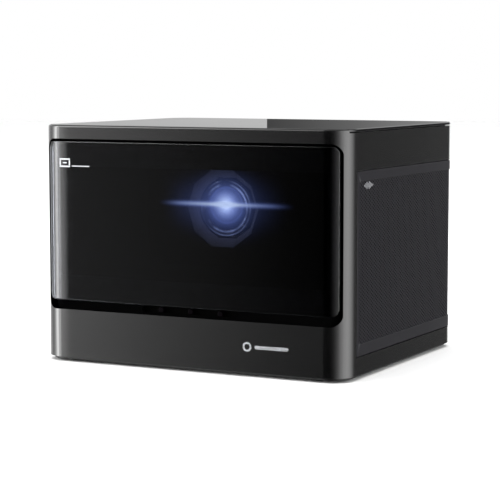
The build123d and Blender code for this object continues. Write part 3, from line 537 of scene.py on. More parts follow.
# The painted glows' radii, centres and widths are millimetres from the line through the lens centre.
def bell(tree, value, centre, width):
    """A soft hump: 1 where value is at centre, falling away over width."""
    offset = math_of(tree, "DIVIDE", minus(tree, value, centre), width)
    return math_of(tree, "EXPONENT", times(tree, times(tree, offset, offset), -1.0))


def glow_glass(name):
    """Front lens element: coated glass with a painted glow, white in the middle and falling off to blue, with
    a faint ring.
    """
    tree, shader = new_material(name)
    radius = use(tree, "lens_polar", Centre_Z=LENS_Z + 2 * MM)["Radius"]
    # Painted glow: a hot core, a wider pool and a faint ring, emitted by the lens face.
    core = bell(tree, radius, 0.0, 3.6)
    pool = bell(tree, radius, 0.0, 9.0)
    lobe = bell(tree, radius, 12.6, 0.8)
    level = plus(tree, times(tree, core, 9.0), times(tree, pool, 0.9), times(tree, lobe, 0.35))
    tint = mix_colours(tree, core, colours().glow, colours().core)
    drift = use(tree, "grain", Drift=30.0)["Tone"]
    dress(tree, shader, {
        "Emission Color": vector_math(tree, "MULTIPLY", tint, level), "Emission Strength": 1.0,
        "Base Color": mix_colours(tree, drift, (0.010, 0.012, 0.030), (0.020, 0.016, 0.040)),
        "Roughness": use(tree, "smudges", Low=0.02, High=0.05)["Roughness"],
    })


def glow_metal(name):
    """Black anodised cell: turned rings, and painted glints of the lens light on its front rim."""
    tree, shader = new_material(name)
    radius = use(tree, "lens_polar")["Radius"]
    place = object_place(tree)
    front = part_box("focus_cell")[0].y
    near = ramp(tree, parts_of(tree, place)["Y"], front + 1.5 * MM, front)
    # Painted highlights: two bright rings on the front rim, broken up by noise.
    rings = plus(tree, bell(tree, radius, 16.6, 0.7), times(tree, bell(tree, radius, 19.2, 0.5), 0.5))
    broken = ramp(tree, noise_of(tree, place, 70.0, 2.0), 0.35, 0.65)
    level = times(tree, rings, broken, near, 1.8)
    waves = math_of(tree, "SINE", times(tree, radius, 12.0))
    shade = ramp(tree, waves, -1.0, 1.0)
    dress(tree, shader, {
        "Emission Color": vector_math(tree, "MULTIPLY", (0.45, 0.56, 1.0), level),
        "Emission Strength": 1.0,
        "Base Color": mix_colours(tree, shade, (0.012, 0.012, 0.014), (0.03, 0.03, 0.034)),
        "Metallic": 0.6, "Roughness": 0.35,
    })
    bump(tree, shader, waves, 0.03 * MM)


def glow_hood(name):
    """Matt black moulding round the lens, with a painted blue glow that fades with distance from the lens
    axis.
    """
    tree, shader = new_material(name)
    radius = use(tree, "lens_polar")["Radius"]
    texture = use(tree, "grain", Scale=1400.0)
    # Painted glow: blue light on the moulding, strongest near the lens.
    wash = ramp(tree, radius, 31.5, 22.0)
    level = times(tree, wash, plus(tree, times(tree, texture["Tone"], 0.10), 0.06))
    dark, pale = (0.006, 0.006, 0.007), (0.013, 0.013, 0.015)
    dress(tree, shader, {
        "Emission Color": vector_math(tree, "MULTIPLY", (0.55, 0.60, 1.0), level),
        "Emission Strength": 1.0,
        "Base Color": mix_colours(tree, texture["Tone"], dark, pale), "Roughness": 0.55,
    })
    bump(tree, shader, texture["Height"], 0.03 * MM)


def painted_glare_film(name):
    """Sheet of painted glare behind the glass: the lens light as a painted halo and a level streak."""
    tree, shader = new_material(name)
    polar = use(tree, "lens_polar", Centre_X=LENS_X + 4 * MM, Centre_Z=LENS_Z + 3.2 * MM)
    halo = bell(tree, polar["Radius"], 0.0, 16.0)
    wide = times(tree, bell(tree, polar["X"], -6.0, 30.0), bell(tree, polar["Z"], 0.0, 13.0))
    streak = times(tree, bell(tree, polar["X"], -5.0, 37.0), bell(tree, polar["Z"], 0.0, 1.55))
    heart = bell(tree, polar["Radius"], 0.0, 7.4)
    lights = ((halo, 0.22), (wide, 0.09), (streak, 0.72), (heart, 0.95))
    level = plus(tree, *(times(tree, light, share) for light, share in lights))
    fade_w = 22.0
    for axis, half in (("X", 55.0), ("Z", 36.0)):
        away = math_of(tree, "ABSOLUTE", polar[axis])
        level = times(tree, level, ramp(tree, away, half - fade_w, half, 1.0, 0.0, "SMOOTHSTEP"))
    pale = math_of(tree, "ADD", times(tree, streak, 0.95), heart, clamp=True)
    drift = use(tree, "grain", Scale=500.0)["Tone"]
    dress(tree, shader, {
        "Emission Color": mix_colours(tree, pale, colours().glow, colours().core),
        "Emission Strength": 3.6,
        "Alpha": math_of(tree, "MULTIPLY", level, 0.5, clamp=True),
        "Base Color": mix_colours(tree, drift, BLACK, (0.004, 0.004, 0.008)),
        "Roughness": 1.0, "Specular IOR Level": 0.0,
    })


def make_materials():
    """Every finish, under the name of the slot that it fills."""
    tint = colours()
    fine = {"grain": 2600.0, "relief": 0.004, "wear": 0.0, "dust": 0.0}
    satin_shell("shell_plastic", tint.shell, 0.23)
    solid("base_plastic", tint.base, 0.46, grain=1300.0, dust=0.02, specular=0.4)
    solid("grille_metal", tint.grille, 0.42, grain=2600.0, relief=0.008, wear=0.1, dust=0.01,
          specular=0.19)
    # Inner parts: black plastic, made near-black and barely reflecting as painted shade inside the body.
    solid("inner_black", (0.0008, 0.0008, 0.0009), 0.9, grain=1300.0, relief=0.03, wear=0.02, dust=0.0,
          specular=0.02)
    solid("tape_black", (0.012, 0.012, 0.012), 0.85, grain=1100.0, relief=0.08, specular=0.2)
    solid("foot_rubber", (0.016, 0.016, 0.017), 0.8, grain=900.0, relief=0.06, specular=0.25)
    solid("gear_plastic", (0.78, 0.76, 0.68), 0.42, grain=900.0, relief=0.01)
    solid("cast_metal", (0.42, 0.43, 0.45), 0.45, grain=700.0, relief=0.08, metallic=1.0)
    solid("fan_plastic", (0.011, 0.011, 0.012), 0.38, grain=1100.0)
    solid("speaker_box_plastic", (0.014, 0.014, 0.015), 0.6, grain=1000.0, relief=0.04)
    solid("port_plastic", (0.010, 0.010, 0.010), 0.45, grain=1600.0, relief=0.01)
    solid("print_white", tint.marks, 0.5, **fine)
    solid("print_grey", shades(tint.marks, 0.4)[0], 0.5, **fine)
    brushed("emblem_metal", (0.62, 0.63, 0.66), 0.26, (60.0, 2400.0, 2400.0))
    brushed("screw_steel", (0.11, 0.11, 0.12), 0.34, (1500.0, 1500.0, 1500.0))
    brushed("insert_brass", (0.72, 0.53, 0.25), 0.30, (1200.0, 1200.0, 90.0))
    brushed("motor_steel", (0.56, 0.57, 0.59), 0.30, (1200.0, 80.0, 1200.0))
    brushed("sink_aluminium", (0.72, 0.73, 0.75), 0.36, (1500.0, 120.0, 120.0))
    brushed("frame_steel", (0.40, 0.41, 0.43), 0.32, (100.0, 1300.0, 1300.0))
    brushed("pipe_copper", (0.80, 0.42, 0.26), 0.28, (60.0, 1800.0, 1800.0))
    brushed("basket_steel", (0.20, 0.20, 0.21), 0.42, (1400.0, 200.0, 200.0))
    port_shell("port_metal", (0.66, 0.66, 0.67), 0.28)
    polished_plate("top_glass", tint.plate)
    clear_stock("front_glass", tint.glass, 0.008, 0.03)
    clear_stock("sensor_glass", (0.0015, 0.0005, 0.0015), 0.2, 0.3, transmission=0.02, specular=0.02)
    clear_stock("lens_glass", (0.90, 0.95, 1.0), 0.01, 0.03, ior=1.6)
    glow_glass("lens_front_glow")
    glow_metal("lens_metal")
    glow_hood("hood_glow")
    painted_glare_film("painted_glare")
    circuit_board("board_green", (0.012, 0.075, 0.035), (0.03, 0.16, 0.07), (0.72, 0.70, 0.62))
    circuit_board("board_black", *shades((0.0005, 0.0005, 0.0005), 1.0, 2.0, 4.0), 0.9, 0.05)
    cone_paper("cone_paper")
    dust_cloth("dust_cloth")
    phosphor("wheel_mirror")


# ---- mesh helpers: lengths in metres, u along a face, v up it, depth into it ------------------
def lerp(a, b, steps):
    return [a + (b - a) * i / steps for i in range(steps + 1)]


ROLL_TURNS = lerp(0.0, pi / 2, 5)


def stations(*stretches):
    """Places along a face: stretches are (start, end, steps), each starting where the last one ends."""
    found = [stretches[0][0]]
    for start, end, steps in stretches:
        found += lerp(start, end, steps)[1:]
    return found


def rounded_loop(middle, v_low, v_high, radius, steps=ARC_STEPS):
    """A closed loop round a rounded rectangle: its straight stations, then its corners' arcs."""
    turns = lerp(0.0, pi / 2, steps)[:-1]
    left, right = middle[0], middle[-1]
    loop = [(u, v_low) for u in middle]
    loop += [(right + radius * sin(t), v_low + radius - radius * cos(t)) for t in turns[1:]]
    loop += [(right + radius, v_low + radius), (right + radius, v_high - radius)]
    loop += [(right + radius * cos(t), v_high - radius + radius * sin(t)) for t in turns[1:]]
    loop += [(u, v_high) for u in reversed(middle)]
    loop += [(left - radius * sin(t), v_high - radius + radius * cos(t)) for t in turns[1:]]
    loop += [(left - radius, v_high - radius), (left - radius, v_low + radius)]
    loop += [(left - radius * cos(t), v_low + radius - radius * sin(t)) for t in turns[1:]]
    return loop


def front_place(u, v, depth):
    """The front face, wrapped round both upright corners."""
    radius = sizes().corner_r
    flat = HALF_W - radius
    side = 1.0 if u > 0 else -1.0
    turn = max(0.0, abs(u) - flat) / radius
    reach = radius - depth
    x = side * (min(abs(u), flat) + reach * sin(turn))
    return Vector((x, FRONT_Y + radius - reach * cos(turn), v))


def side_place(side):
    """One side, wrapped round its rear corner; u runs back from the grille's front edge."""
    radius = sizes().corner_r
    start = GRILLE_LOW.y
    straight = BACK_Y - radius - start

    def place(u, v, depth):
        turn = min(max(0.0, u - straight) / radius, pi / 2)
        past = max(0.0, u - straight - radius * pi / 2)
        reach = radius - depth
        x = HALF_W - radius + reach * cos(turn) - past
        return Vector((side * x, start + min(u, straight) + reach * sin(turn), v))

    return place, straight


def rear_place(u, v, depth):
    return Vector((-u, REAR_HIGH.y - depth, v))


def new_object(name, mesh, material, body="housing", replaced=()):
    """A finished piece on its body, with its slot's finish."""
    mesh.materials.clear()
    mesh.materials.append(MATERIALS[material])
    obj = bpy.data.objects.new(name, mesh)
    bpy.context.scene.collection.objects.link(obj)
    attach(obj, body)
    if replaced:
        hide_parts(*replaced)
    return obj


def plain_mesh(build, name):
    """A mesh from a bmesh, which is then freed."""
    mesh = bpy.data.meshes.new(name)
    build.to_mesh(mesh)
    build.free()
    return mesh


def mesh_of(build, name):
    """A mesh from a bmesh, its doubles merged and its faces turned outwards."""
    bmesh.ops.remove_doubles(build, verts=build.verts, dist=WELD)
    bmesh.ops.recalc_face_normals(build, faces=build.faces)
    return plain_mesh(build, name)


def smooth(mesh, angle=35.0):
    for face in mesh.polygons:
        face.use_smooth = True
    mesh.set_sharp_from_angle(angle=radians(angle))


def loops_solid(build, loops, place, closed=False):
    """Skins loops of (points, depth) one after another; closed joins the last to the first."""
    rings = [[build.verts.new(place(u, v, depth)) for u, v in points] for points, depth in loops]
    ends = rings[1:] + rings[:1] if closed else rings[1:]
    for low, high in zip(rings, ends):
        count = len(low)
        for i in range(count):
            build.faces.new((low[i], low[(i + 1) % count], high[(i + 1) % count], high[i]))
    return rings


def fill_loop(build, ring, count, steps=ARC_STEPS):
    """Caps a rounded loop with strips between its lower and upper halves."""
    start = count + 2 * steps
    lower = [ring[-i] for i in range(steps, 0, -1)] + ring[:count + steps]
    upper = [ring[start + count - 1 + i] for i in range(steps, 0, -1)]
    upper += [ring[start + count - 1 - i] for i in range(count + steps)]
    for i in range(len(lower) - 1):
        build.faces.new((lower[i], lower[i + 1], upper[i + 1], upper[i]))


def thin_solid(build, middle, v_span, radius, depths, place, steps=ARC_STEPS):
    """A rounded sheet that fills the space between two depths, capped on both faces."""
    points = rounded_loop(middle, *v_span, radius, steps)
    for ring in loops_solid(build, [(points, depth) for depth in depths], place):
        fill_loop(build, ring, len(middle), steps)


# ---- baking ----------------------------------------------------------------------------------
def draft_of(name, mesh):
    """A helper object that carries modifiers until it is baked."""
    helper = bpy.data.objects.new(name + "_draft", mesh)
    bpy.context.scene.collection.objects.link(helper)
    return helper


def baked(helper, name):
    """The evaluated mesh of a helper object, which is then removed."""
    bpy.context.view_layer.update()
    graph = bpy.context.evaluated_depsgraph_get()
    mesh = bpy.data.meshes.new_from_object(helper.evaluated_get(graph))
    mesh.name = name
    draft = helper.data
    bpy.data.objects.remove(helper)
    if draft is not None and draft.users == 0:
        bpy.data.meshes.remove(draft)
    return mesh


def add_weighting(helper):
    """Lets the wide faces set the shading at their edges, so that flat walls reflect as flat ones."""
    shading = helper.modifiers.new("Shading", "WEIGHTED_NORMAL")
    shading.mode = "FACE_AREA"
    shading.weight = 100
    shading.keep_sharp = True


def weighted(mesh):
    """The mesh with its shading set by its wide faces."""
    name = mesh.name
    helper = draft_of(name, mesh)
    add_weighting(helper)
    return baked(helper, name)


def softened(node, name, width):
    """A CAD piece's copy with merged seams and every sharp edge rounded as a mould leaves it."""
    source = bmesh.new()
    source.from_mesh(NODES[node].data)
    bmesh.ops.remove_doubles(source, verts=source.verts, dist=CAD_WELD)
    bmesh.ops.dissolve_limit(source, angle_limit=radians(FLAT_ANGLE), verts=source.verts, edges=source.edges)
    mesh = plain_mesh(source, name)
    if "custom_normal" in mesh.attributes:
        mesh.attributes.remove(mesh.attributes["custom_normal"])
    for face in mesh.polygons:
        face.use_smooth = True
    helper = draft_of(name, mesh)
    rounding = helper.modifiers.new("Rounding", "BEVEL")
    rounding.width = width
    rounding.segments = 3
    rounding.limit_method = "ANGLE"
    rounding.angle_limit = radians(EDGE_ANGLE)
    rounding.harden_normals = True
    rounding.use_clamp_overlap = True
    add_weighting(helper)
    return baked(helper, name)


# ---- shell -----------------------------------------------------------------------------------
class BuildShell(bpy.types.Operator):
    """Front frame, body shell, rear cover, base and top plate with moulded and polished edges"""

    bl_idname = "projector.shell"
    bl_label = "Shell"

    def execute(self, context):
        edge = sizes().edge_r
        pieces = (
            ("front_frame", "front_shell", "shell_plastic", edge),
            ("main_shell", "body_shell", "shell_plastic", edge * 0.7),
            ("rear_cover", "rear_panel", "shell_plastic", edge * 0.7),
            ("base_tray", "base_pan", "base_plastic", edge),
            ("io_panel", "connector_panel", "base_plastic", edge * 0.7),
            ("top_glass", "top_plate", "top_glass", edge * 0.6),
        )
        for node, name, finish, width in pieces:
            new_object(name, softened(node, name, width), finish, replaced=(node,))
        return {"FINISHED"}


# ---- front glass -----------------------------------------------------------------------------
# The sheet of painted glare behind the glass: its reach, height, corners, thickness and gap.
FILM_LEFT = LENS_X - 52 * MM
FILM_RIGHT = LENS_X + 55 * MM
FILM_HALF_H = 40 * MM
FILM_CORNER = 6 * MM
FILM_T = 0.05 * MM
FILM_GAP = 0.1 * MM


class BuildFrontGlass(bpy.types.Operator):
    """Tinted front glass, wrapped round both corners, with polished edges, and the sheet of painted glare
    behind it
    """

    bl_idname = "projector.front_glass"
    bl_label = "Front glass"

    def execute(self, context):
        size = sizes()
        flat = HALF_W - size.corner_r
        end = flat + size.corner_r * asin((GLASS_HIGH.x - flat) / (size.corner_r - size.glass_inset))
        edge = size.glass_edge
        back_edge = edge / 3

        def loop(inset):
            radius = size.glass_r - inset
            reach = end - inset - radius
            middle = stations((-reach, -flat, 8), (-flat, flat, 24), (flat, reach, 8))
            return rounded_loop(middle, GLASS_LOW.z + inset, GLASS_HIGH.z - inset, radius), len(middle)

        profile = [(edge * (1 - cos(t)), size.glass_inset + edge * (1 - sin(t))) for t in ROLL_TURNS]
        back = size.glass_inset + size.glass_t
        sides = [(back_edge, back), (0.0, back - back_edge)] + profile
        build = bmesh.new()
        rings = loops_solid(build, [(loop(inset)[0], depth) for inset, depth in sides], front_place)
        for ring in (rings[0], rings[-1]):
            fill_loop(build, ring, loop(0.0)[1])
        mesh = mesh_of(build, "wrapped_glass")
        smooth(mesh)
        new_object("wrapped_glass", weighted(mesh), "front_glass", replaced=("front_glass",))

        # The sheet of painted glare, a thin sheet just behind the glass.
        film = bmesh.new()
        thin_solid(film, stations((FILM_LEFT, FILM_RIGHT, 4)), (LENS_Z - FILM_HALF_H, LENS_Z + FILM_HALF_H),
                   FILM_CORNER, (back + FILM_GAP + FILM_T, back + FILM_GAP), front_place)
        new_object("painted_glare_film", mesh_of(film, "painted_glare_film"), "painted_glare")
        return {"FINISHED"}


# ---- perforated sheets -----------------------------------------------------------------------
GEOMETRY = "NodeSocketGeometry"
WHOLE = "NodeSocketInt"
MATERIAL = "NodeSocketMaterial"


def geometry_tree(name, inputs):
    """A Geometry Nodes group that can serve as a modifier, with its inputs and its one output."""
    tree, given, out = new_group(name, "GeometryNodeTree", [("Geometry", GEOMETRY, None), *inputs],
                                 [("Geometry", GEOMETRY)])
    tree.is_modifier = True
    return tree, given, out[0]


def joined(tree, *parts):
    """Several pieces of geometry as one."""
    join_node = tree.nodes.new("GeometryNodeJoinGeometry")
    for part in parts:
        tree.links.new(part, join_node.inputs[0])
    return join_node.outputs[0]


def pierced_cell(tree, value, half_w, half_h):
    """One cell of the sheet: a face with a round hole, its back and the wall of the hole."""
    here = first(tree, "GeometryNodeInputPosition")
    circle = first(tree, "GeometryNodeMeshCircle", {"Vertices": HOLE_SIDES, "Radius": 1.0}, fill_type="NONE")
    ring = add(tree, "GeometryNodeExtrudeMesh", {"Mesh": circle, "Offset Scale": 0.0}, mode="EDGES").outputs
    hole = vector_math(tree, "MULTIPLY", here, vector(tree, value["Hole radius"], value["Hole radius"]))
    stretch = vector_math(tree, "MULTIPLY", here, (SQUARE_STRETCH, SQUARE_STRETCH, 0.0))
    low = vector_math(tree, "MINIMUM", stretch, (1.0, 1.0, 0.0))
    square = vector_math(tree, "MAXIMUM", low, (-1.0, -1.0, 0.0))
    rim = vector_math(tree, "MULTIPLY", square, vector(tree, half_w, half_h))
    inside = first(tree, "FunctionNodeBooleanMath", {0: ring["Top"]}, operation="NOT")
    opened = first(tree, "GeometryNodeSetPosition", {
        "Geometry": ring["Mesh"], "Selection": ring["Top"], "Position": rim})
    face = first(tree, "GeometryNodeSetPosition", {"Geometry": opened, "Selection": inside, "Position": hole})
    down = vector(tree, z=times(tree, value["Thickness"], -1.0))
    moved = first(tree, "GeometryNodeTransform", {"Geometry": face, "Translation": down})
    back = first(tree, "GeometryNodeFlipFaces", {"Mesh": moved})
    hole_edge = first(tree, "GeometryNodeSetPosition", {"Geometry": circle, "Position": hole})
    wall = add(tree, "GeometryNodeExtrudeMesh", {"Mesh": hole_edge, "Offset": down, "Offset Scale": 1.0},
               mode="EDGES").outputs["Mesh"]
    return joined(tree, face, back, wall)


def wrapped_place(tree, value, along, depth):
    """X and Y of a point on a side that wraps round the rear corner."""
    radius = value["Corner radius"]
    over = minus(tree, along, value["Straight"])
    arc = math_of(tree, "DIVIDE", math_of(tree, "MAXIMUM", over, 0.0), radius)
    turn = math_of(tree, "MINIMUM", arc, pi / 2)
    past = math_of(tree, "MAXIMUM", minus(tree, over, times(tree, radius, pi / 2)), 0.0)
    arm = minus(tree, radius, depth)
    out_x = minus(tree, times(tree, arm, math_of(tree, "COSINE", turn)), past)
    x = plus(tree, minus(tree, value["Half width"], radius), out_x)
    straight = math_of(tree, "MINIMUM", along, value["Straight"])
    bent = plus(tree, straight, times(tree, arm, math_of(tree, "SINE", turn)))
    return x, plus(tree, value["Front end"], bent)


def perforation_tree(bend):
    """A pierced cell repeated in staggered columns; bend wraps the sheet round a side's rear corner."""
    inputs = [
        ("Cell width", FLOAT, 3.0 * MM), ("Cell height", FLOAT, 2.5 * MM), ("Hole radius", FLOAT, 0.7 * MM),
        ("Thickness", FLOAT, 0.8 * MM), ("Columns", WHOLE, 10), ("Rows", WHOLE, 10), ("Start", FLOAT, 0.0),
        ("Foot", FLOAT, 0.0), ("Setback", FLOAT, 0.5 * MM), ("Finish", MATERIAL, None),
    ]
    if bend:
        name = "Wrapped perforations"
        inputs += [(label, FLOAT, 0.0) for label in ("Half width", "Front end", "Straight", "Corner radius")]
    else:
        name = "Flat perforations"
        inputs.append(("Face", FLOAT, 0.0))
    tree, value, out = geometry_tree(name, inputs)
    half_w = times(tree, value["Cell width"], 0.5)
    half_h = times(tree, value["Cell height"], 0.5)
    cell = pierced_cell(tree, value, half_w, half_h)
    columns, rows = value["Columns"], value["Rows"]
    wide = times(tree, value["Cell width"], minus(tree, columns, 1.0))
    tall = times(tree, value["Cell height"], minus(tree, rows, 1.0))
    grid = first(tree, "GeometryNodeMeshGrid", {
        "Size X": wide, "Size Y": tall, "Vertices X": columns, "Vertices Y": rows})
    here = first(tree, "GeometryNodeInputPosition")
    across = plus(tree, parts_of(tree, here)["X"], times(tree, wide, 0.5))
    column = math_of(tree, "ROUND", math_of(tree, "DIVIDE", across, value["Cell width"]))
    odd = math_of(tree, "MODULO", column, 2.0)
    raised = plus(tree, times(tree, odd, half_h), times(tree, tall, 0.5))
    shift = vector(tree, times(tree, wide, 0.5), raised)
    staggered = first(tree, "GeometryNodeSetPosition", {"Geometry": grid, "Offset": shift})
    placed = first(tree, "GeometryNodeInstanceOnPoints", {"Points": staggered, "Instance": cell})
    real = first(tree, "GeometryNodeRealizeInstances", {"Geometry": placed})
    merged = first(tree, "GeometryNodeMergeByDistance", {"Geometry": real, "Distance": CELL_WELD})
    parts = parts_of(tree, here)
    along = plus(tree, parts["X"], value["Start"])
    up = plus(tree, parts["Y"], value["Foot"])
    depth = minus(tree, value["Setback"], parts["Z"])
    if bend:
        x, y = wrapped_place(tree, value, along, depth)
    else:
        x, y = times(tree, along, -1.0), minus(tree, value["Face"], depth)
    bent = first(tree, "GeometryNodeSetPosition", {"Geometry": merged, "Position": vector(tree, x, y, up)})
    done = first(tree, "GeometryNodeSetMaterial", {"Geometry": bent, "Material": value["Finish"]})
    join(tree, done, out)
    return tree


def from_tree(name, tree, values):
    """A plain mesh made by a Geometry Nodes tree with its inputs set by name."""
    helper = draft_of(name, bpy.data.meshes.new(name + "_draft"))
    modifier = helper.modifiers.new("Build", "NODES")
    modifier.node_group = tree
    for item in tree.interface.items_tree:
        if item.item_type == "SOCKET" and item.in_out == "INPUT" and item.name in values:
            modifier[item.identifier] = values[item.name]
    return baked(helper, name)


def cells_in(span, cell):
    return int(round(span / cell))


def turned_out(mesh, mirrored=False):
    """The mesh merged and facing outwards, mirrored across the middle first if asked."""
    build = bmesh.new()
    build.from_mesh(mesh)
    if mirrored:
        for vertex in build.verts:
            vertex.co.x = -vertex.co.x
    bmesh.ops.remove_doubles(build, verts=build.verts, dist=CAD_WELD)
    bmesh.ops.recalc_face_normals(build, faces=build.faces)
    build.to_mesh(mesh)
    build.free()
    return mesh


def border_solid(name, outer, inner, radii, depths, place, breaks):
    """A frame round a perforated sheet: rolled outer edge, flat land and a small step down inside.

    outer and inner each hold a span along the face and one up it.
    """
    build = bmesh.new()
    outer_r, inner_r, roll = radii
    back, seat = depths

    def loop(inset, radius, spans=outer):
        u_span, v_span = spans
        start, end = u_span[0] + inset + radius, u_span[1] - inset - radius
        cuts = [start] + [cut for cut, _ in breaks] + [end]
        steps = [count for _, count in breaks] + [2]
        middle = stations(*zip(cuts, cuts[1:], steps))
        return rounded_loop(middle, v_span[0] + inset, v_span[1] - inset, radius)

    step = 0.25 * roll
    land = 1.5 * roll
    rows = [(loop(0.0, outer_r), back)]
    rows += [(loop(roll * (1 - cos(t)), outer_r), roll * (1 - sin(t))) for t in ROLL_TURNS]
    rows += [(loop(-step, inner_r, inner), 0.0), (loop(0.0, inner_r, inner), step)]
    rows += [(loop(0.0, inner_r, inner), seat), (loop(land, outer_r), seat), (loop(land, outer_r), back)]
    loops_solid(build, rows, place, closed=True)
    mesh = mesh_of(build, name)
    smooth(mesh, BORDER_ANGLE)
    return mesh


# The side grilles: their depth into the body, the gap to the rear cover, how much higher the lower
# border is, and the corner radii of the border.
GRILLE_DEPTH = 2.2 * MM
COVER_GAP = 0.3 * MM
LOWER_EXTRA = 1.5 * MM
BORDER_OUTER_R = 1.0 * MM
BORDER_INNER_R = 2.0 * MM
SEAT_LAP = 0.02 * MM
# The dust cloths behind them.
CLOTH_INSET_U = 4 * MM
CLOTH_INSET_V = 5 * MM
CLOTH_CORNER = 1.5 * MM
CLOTH_DEPTHS = (1.75 * MM, 1.55 * MM)


class BuildSideGrilles(bpy.types.Operator):
    """Perforated side grilles that wrap round the rear corners, with rolled borders and dust cloths"""

    bl_idname = "projector.side_grilles"
    bl_label = "Side grilles"

    def execute(self, context):
        size = sizes()
        tree = perforation_tree(bend=True)
        _, straight = side_place(1.0)
        arc_end = straight + size.corner_r * pi / 2
        length_u = arc_end + HALF_W - size.corner_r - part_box("rear_cover")[1].x - COVER_GAP
        low, high = GRILLE_LOW.z, GRILLE_HIGH.z
        inner_u = (size.side_border, length_u - size.side_border)
        inner_v = (low + size.border + LOWER_EXTRA, high - size.border)
        values = {
            "Cell width": size.cell_w, "Cell height": size.cell_h, "Hole radius": size.hole_r,
            "Thickness": size.sheet_t, "Columns": cells_in(inner_u[1] - inner_u[0], size.cell_w),
            "Rows": cells_in(inner_v[1] - inner_v[0], size.cell_h) + 1,
            "Start": inner_u[0] + size.cell_w / 2, "Foot": inner_v[0],
            "Setback": size.sheet_set, "Half width": HALF_W, "Front end": GRILLE_LOW.y,
            "Straight": straight, "Corner radius": size.corner_r, "Finish": MATERIALS["grille_metal"],
        }
        cloth_end = length_u - CLOTH_INSET_U
        for side, label in SIDES:
            name = "perforated_sheet_" + label
            sheet = turned_out(from_tree(name, tree, values), mirrored=side < 0)
            smooth(sheet, SHEET_ANGLE)
            new_object(name, sheet, "grille_metal", replaced=("side_grille_" + label,))
            place, _ = side_place(side)
            border = border_solid(
                "grille_border_" + label, ((0.0, length_u), (low, high)), (inner_u, inner_v),
                (BORDER_OUTER_R, BORDER_INNER_R, size.roll_r), (GRILLE_DEPTH, size.sheet_set - SEAT_LAP),
                place, ((straight, 4), (arc_end, 20)),
            )
            new_object("grille_border_" + label, border, "grille_metal")
            liner = bmesh.new()
            middle = stations((CLOTH_INSET_U, straight, 6), (straight, arc_end, 16), (arc_end, cloth_end, 2))
            thin_solid(liner, middle, (low + CLOTH_INSET_V, high - CLOTH_INSET_V), CLOTH_CORNER,
                       CLOTH_DEPTHS, place)
            cloth = mesh_of(liner, "dust_cloth_" + label)
            smooth(cloth, SHEET_ANGLE)
            new_object("dust_cloth_" + label, cloth, "dust_cloth")
        return {"FINISHED"}


REAR_RIM = 2.2 * MM
REAR_SETBACK = 0.3 * MM
REAR_RADII = (3.0 * MM, 2.0 * MM, 0.4 * MM)


class BuildRearGrille(bpy.types.Operator):
    """Perforated rear grille over the two fans"""

    bl_idname = "projector.rear_grille"
    bl_label = "Rear grille"

    def execute(self, context):
        size = sizes()
        low, high = REAR_LOW.z, REAR_HIGH.z
        wide, tall = REAR_HIGH.x - REAR_LOW.x, high - low
        columns = cells_in(wide - 2 * REAR_RIM, size.rear_cell_w)
        rows = cells_in(tall - 2 * REAR_RIM, size.rear_cell_h)
        values = {
            "Cell width": size.rear_cell_w, "Cell height": size.rear_cell_h,
            "Hole radius": size.rear_hole_r, "Thickness": size.sheet_t, "Columns": columns, "Rows": rows,
            "Start": -(columns - 1) * size.rear_cell_w / 2,
            "Foot": (low + high) / 2 - (rows - 0.5) * size.rear_cell_h / 2,
            "Setback": REAR_SETBACK, "Face": REAR_HIGH.y, "Finish": MATERIALS["grille_metal"],
        }
        sheet = turned_out(from_tree("rear_sheet", perforation_tree(bend=False), values))
        smooth(sheet, SHEET_ANGLE)
        new_object("rear_sheet", sheet, "grille_metal", replaced=("rear_grille",))
        half = wide / 2
        border = border_solid(
            "rear_sheet_border", ((-half, half), (low, high)),
            ((-half + REAR_RIM, half - REAR_RIM), (low + REAR_RIM, high - REAR_RIM)), REAR_RADII,
            (REAR_HIGH.y - REAR_LOW.y, REAR_SETBACK - SEAT_LAP), rear_place, ((0.0, 4),),
        )
        new_object("rear_sheet_border", border, "grille_metal")
        return {"FINISHED"}


# ---- screws ----------------------------------------------------------------------------------
HEAD_H = 1.6 * MM
SHANK_R = 1.2 * MM
# The drop of the head's rim, as a share of half its height, and the cross recess's arms, as shares
# of the head's radius.
HEAD_CROWN = 0.45
CROSS_LENGTH = 1.15
CROSS_WIDTH = 0.28
# The turn from one screw's recess to the next, in radians.
SPIN_STEP = 0.7


